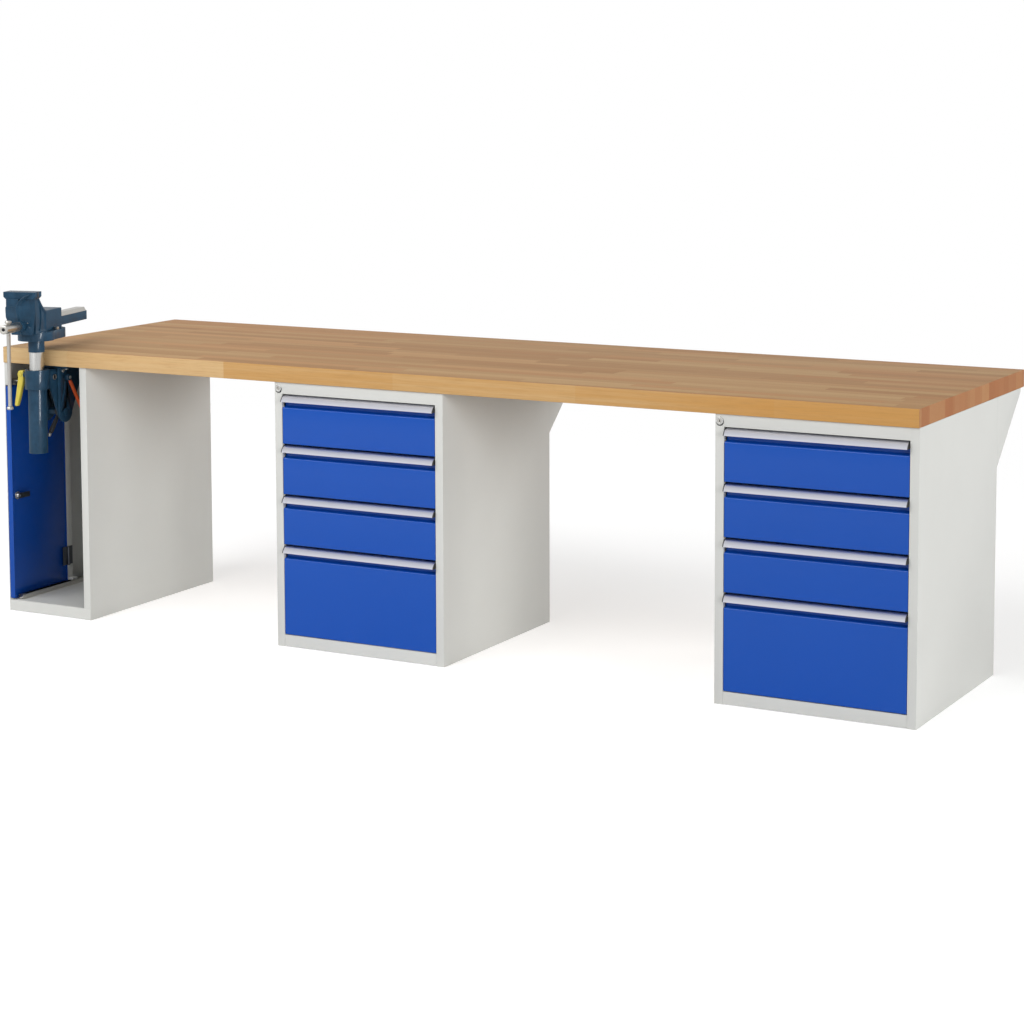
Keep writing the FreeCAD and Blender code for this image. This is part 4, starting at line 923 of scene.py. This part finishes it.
def lock_rims():
    """Dark collar round each cabinet lock."""
    for side in CABINETS:
        low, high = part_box(f"{side}_lock_plug")
        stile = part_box(f"{side}_carcass")[0].y
        centre = ((low.x + high.x) / 2 / MM, stile / MM, (low.z + high.z) / 2 / MM)
        rim = [(0.4, 11.2), (-0.6, 11.2), (-1.4, 10.6), (-1.6, 9.8), (-1.2, 9.2), (0.4, 9.2)]
        lathe(f"{side}_lock_rim", "frame", "black_steel", rim, centre, TO_BACK, as_given, 32)


def lift_screws():
    """Bolt heads with washers on the bracket's arms, and hexagon screws on the console's cheeks."""
    for name, side in SIDES.items():
        out = (side, 0, 0)
        washer = [(33.4, 8.6), (34.6, 8.6), (35, 8.2), (35, 6.2), (34.2, 5.4), (34.2, 0)]
        lathe(f"arm_washer_{name}", "lift_arm", "zinc_steel", washer, ARM_PIN, out, beside_column, 32)
        pin = [(34, 4.4), (35.6, 4.4), (36.2, 3.6), (36.2, 0)]
        lathe(f"arm_pin_{name}", "lift_arm", "black_steel", pin, ARM_PIN, out, beside_column, 24)
        screw = [(39.8, 7), (43.6, 7), (44.6, 6), (44.6, 3.2), (43.4, 2.8), (43.4, 0)]
        lathe(f"console_screw_{name}", "frame", "zinc_steel", screw, CONSOLE_SCREW, out, beside_column, 6)


# Stage: camera angles in degrees, lens and sensor in millimetres

CAMERA_PLACE = (3.5799, -6.4349, 1.7426)
CAMERA_YAW = -28.607
CAMERA_PITCH = -5.819
CAMERA_ROLL = -0.195
CAMERA_LENS = 86.9
CAMERA_SENSOR = 36
CAMERA_SHIFT = -0.2002
CAMERA_REACH = 100


def camera():
    """Camera at the photograph's place, with its lens shifted down."""
    yaw, pitch, roll = (math.radians(a) for a in (CAMERA_YAW, CAMERA_PITCH, CAMERA_ROLL))
    forward = Vector((math.sin(yaw) * math.cos(pitch), math.cos(yaw) * math.cos(pitch), math.sin(pitch)))
    right = Vector((math.cos(yaw), -math.sin(yaw), 0))
    up = right.cross(forward)
    turned_right = right * math.cos(roll) + up * math.sin(roll)
    turned_up = up * math.cos(roll) - right * math.sin(roll)
    data = bpy.data.cameras.new("camera")
    data.sensor_width = CAMERA_SENSOR
    data.lens = CAMERA_LENS
    data.shift_y = CAMERA_SHIFT
    data.clip_end = CAMERA_REACH
    item = bpy.data.objects.new("camera", data)
    turn = Matrix((turned_right, turned_up, -forward)).transposed().to_4x4()
    item.matrix_world = Matrix.Translation(CAMERA_PLACE) @ turn
    bpy.context.scene.collection.objects.link(item)
    bpy.context.scene.camera = item


WHITE = (1.0, 1.0, 1.0)
FLOOR_SIZE = 120.0
FLOOR_GREY = 0.88
FLOOR_CLOUDS = 0.01
FLOOR_LIFT = 0.45
FLOOR_NEAR = 2.0
FLOOR_FAR = 4.5
FLOOR_SQUEEZE = 0.7


def floor():
    """Pale floor that keeps the shadow near the bench and fades to white away from it."""
    mesh = bpy.data.meshes.new("floor")
    half = FLOOR_SIZE / 2
    corners = level([(-half, -half), (half, -half), (half, half), (-half, half)], 0)
    mesh.from_pydata(corners, [], [(0, 1, 2, 3)])
    item = bpy.data.objects.new("floor", mesh)
    bpy.context.scene.collection.objects.link(item)
    paint = Shader("pale_floor", Roughness=0.9)
    x, y, _ = paint.place()
    clouds = paint.noise(paint.coordinates, 1.5, 2.0)
    tone = paint.blend(clouds, (FLOOR_GREY - FLOOR_CLOUDS,) * 3, (FLOOR_GREY + FLOOR_CLOUDS,) * 3)
    seen = paint.add("ShaderNodeLightPath").outputs["Is Camera Ray"]
    paint.set(paint.surface, {
        "Base Color": tone,
        "Emission Color": WHITE,
        "Emission Strength": paint.math("MULTIPLY", seen, FLOOR_LIFT),
        "Specular IOR Level": 0.0,
    })
    flat = paint.vector(paint.math("MULTIPLY", x, FLOOR_SQUEEZE), y)
    distance = paint.add("ShaderNodeVectorMath", {0: flat}, operation="LENGTH").outputs["Value"]
    reach = {0: distance, 1: FLOOR_NEAR, 2: FLOOR_FAR}
    far = paint.add("ShaderNodeMapRange", reach, interpolation_type="SMOOTHSTEP").outputs[0]
    white = paint.add("ShaderNodeEmission", {"Color": WHITE, "Strength": 1.0})
    fade = paint.add("ShaderNodeMixShader")
    share = paint.math("MULTIPLY", far, seen)
    paint.set(fade, {0: share, 1: paint.surface.outputs[0], 2: white.outputs[0]})
    paint.tree.links.new(fade.outputs[0], paint.tree.nodes["Material Output"].inputs["Surface"])
    mesh.materials.append(paint.material)


# Brightness of the dome at the horizon and above, for light and for what mirrors see
SKY = {"light": (0.46, 0.3), "mirror": (0.86, 0.6)}
SKY_TOP = 0.8


def studio():
    """White surroundings for the camera, a softer dome for the light and for what mirrors see."""
    world = bpy.data.worlds.new("studio")
    bpy.context.scene.world = world
    world.use_nodes = True
    tree = world.node_tree
    back = tree.nodes["Background"]
    path = tree.nodes.new("ShaderNodeLightPath")
    place = tree.nodes.new("ShaderNodeTexCoord")
    height = tree.nodes.new("ShaderNodeSeparateXYZ")
    tree.links.new(place.outputs["Generated"], height.inputs[0])
    domes = {}
    for use, (low, high) in SKY.items():
        dome = tree.nodes.new("ShaderNodeMapRange")
        tree.links.new(height.outputs[2], dome.inputs[0])
        for index, value in ((1, 0.0), (2, SKY_TOP), (3, low), (4, high)):
            dome.inputs[index].default_value = value
        domes[use] = dome.outputs[0]
    shiny = tree.nodes.new("ShaderNodeMath")
    shiny.operation = "MAXIMUM"
    tree.links.new(path.outputs["Is Glossy Ray"], shiny.inputs[0])
    tree.links.new(path.outputs["Is Transmission Ray"], shiny.inputs[1])
    mirror = tree.nodes.new("ShaderNodeMix")
    tree.links.new(shiny.outputs[0], mirror.inputs[0])
    tree.links.new(domes["light"], mirror.inputs[2])
    tree.links.new(domes["mirror"], mirror.inputs[3])
    seen = tree.nodes.new("ShaderNodeMix")
    seen.inputs[3].default_value = 1.0
    tree.links.new(path.outputs["Is Camera Ray"], seen.inputs[0])
    tree.links.new(mirror.outputs[0], seen.inputs[2])
    back.inputs["Color"].default_value = (*WHITE, 1)
    tree.links.new(seen.outputs[0], back.inputs["Strength"])


# Lamps: angles in degrees, power in watts or, for the far lamps, in watts per square metre

KEY = {"place": (-2.8, -5.8, 5.4), "aim": (-0.3, -0.2, 0.5), "width": 8.0, "height": 5.0, "power": 440}
CARD = {"place": (1.9, -1.85, 0.85), "aim": (-1.34, -0.48, 0.8), "width": 0.6, "height": 1.7, "power": 95}
CARD_NODES = ("guide_tube", "swing_bracket", "lift_spigot", "vise_foot")
FRONT_CORNER = {"azimuth": 66, "elevation": 8, "power": 1.45, "spread": 25}
REAR_CORNER = {"azimuth": 122, "elevation": 8, "power": 1.5, "spread": 25}


def distant(name, azimuth, elevation, power, spread):
    """A far lamp; its azimuth is counted from the front towards the right."""
    data = bpy.data.lights.new(name, "SUN")
    data.energy = power
    data.angle = math.radians(spread)
    turn, rise = math.radians(azimuth), math.radians(elevation)
    towards = Vector((math.sin(turn) * math.cos(rise), -math.cos(turn) * math.cos(rise), math.sin(rise)))
    item = bpy.data.objects.new(name, data)
    item.rotation_euler = (-towards).to_track_quat("-Z", "Y").to_euler()
    item.visible_glossy = False
    bpy.context.scene.collection.objects.link(item)
    return item


def softbox(name, place, aim, width, height, power):
    """A rectangular lamp turned towards a point."""
    data = bpy.data.lights.new(name, "AREA")
    data.shape = "RECTANGLE"
    data.size = width
    data.size_y = height
    data.energy = power
    item = bpy.data.objects.new(name, data)
    item.location = place
    item.rotation_euler = (Vector(aim) - Vector(place)).to_track_quat("-Z", "Y").to_euler()
    bpy.context.scene.collection.objects.link(item)
    return item


def gloss_card(nodes):
    """A tall card in front of the bench that shows only as a highlight on the named nodes."""
    card = softbox("card", **CARD)
    card.visible_diffuse = False
    card.visible_camera = False
    receivers = bpy.data.collections.new("card_receivers")
    for node in nodes:
        receivers.objects.link(NODES[node])
    card.light_linking.receiver_collection = receivers


def made_of(slot):
    """Every mesh of one finish."""
    meshes = [item for item in bpy.context.scene.objects if item.type == "MESH"]
    return [item for item in meshes if MATERIALS[slot].name in item.data.materials]


def spare(lamp, items):
    """Keeps a lamp's light off some meshes."""
    spared = bpy.data.collections.new(f"{lamp.name}_spares")
    for item in items:
        spared.objects.link(item)
    for entry in spared.collection_objects:
        entry.light_linking.link_state = "EXCLUDE"
    lamp.light_linking.receiver_collection = spared


def lights():
    """A broad key above the front left, low light from two right corners, and a card for the lift."""
    key = softbox("key", **KEY)
    spare(key, made_of("aluminium"))
    corner = distant("front_corner", **FRONT_CORNER)
    spare(corner, [NODES["door_pan"]])
    distant("rear_corner", **REAR_CORNER)
    gloss_card(CARD_NODES)


dress_frame()
worktop()
for drawer in DRAWERS:
    drawer_front(drawer)
    drawer_grip(drawer)
plinth_strip()
moving_jaw()
vise_body()
spindle_fittings()
clamp_lever()
latch_lever()
release_handle()
lock_rims()
lift_screws()
camera()
floor()
studio()
lights()
bpy.context.scene.view_settings.view_transform = "Standard"
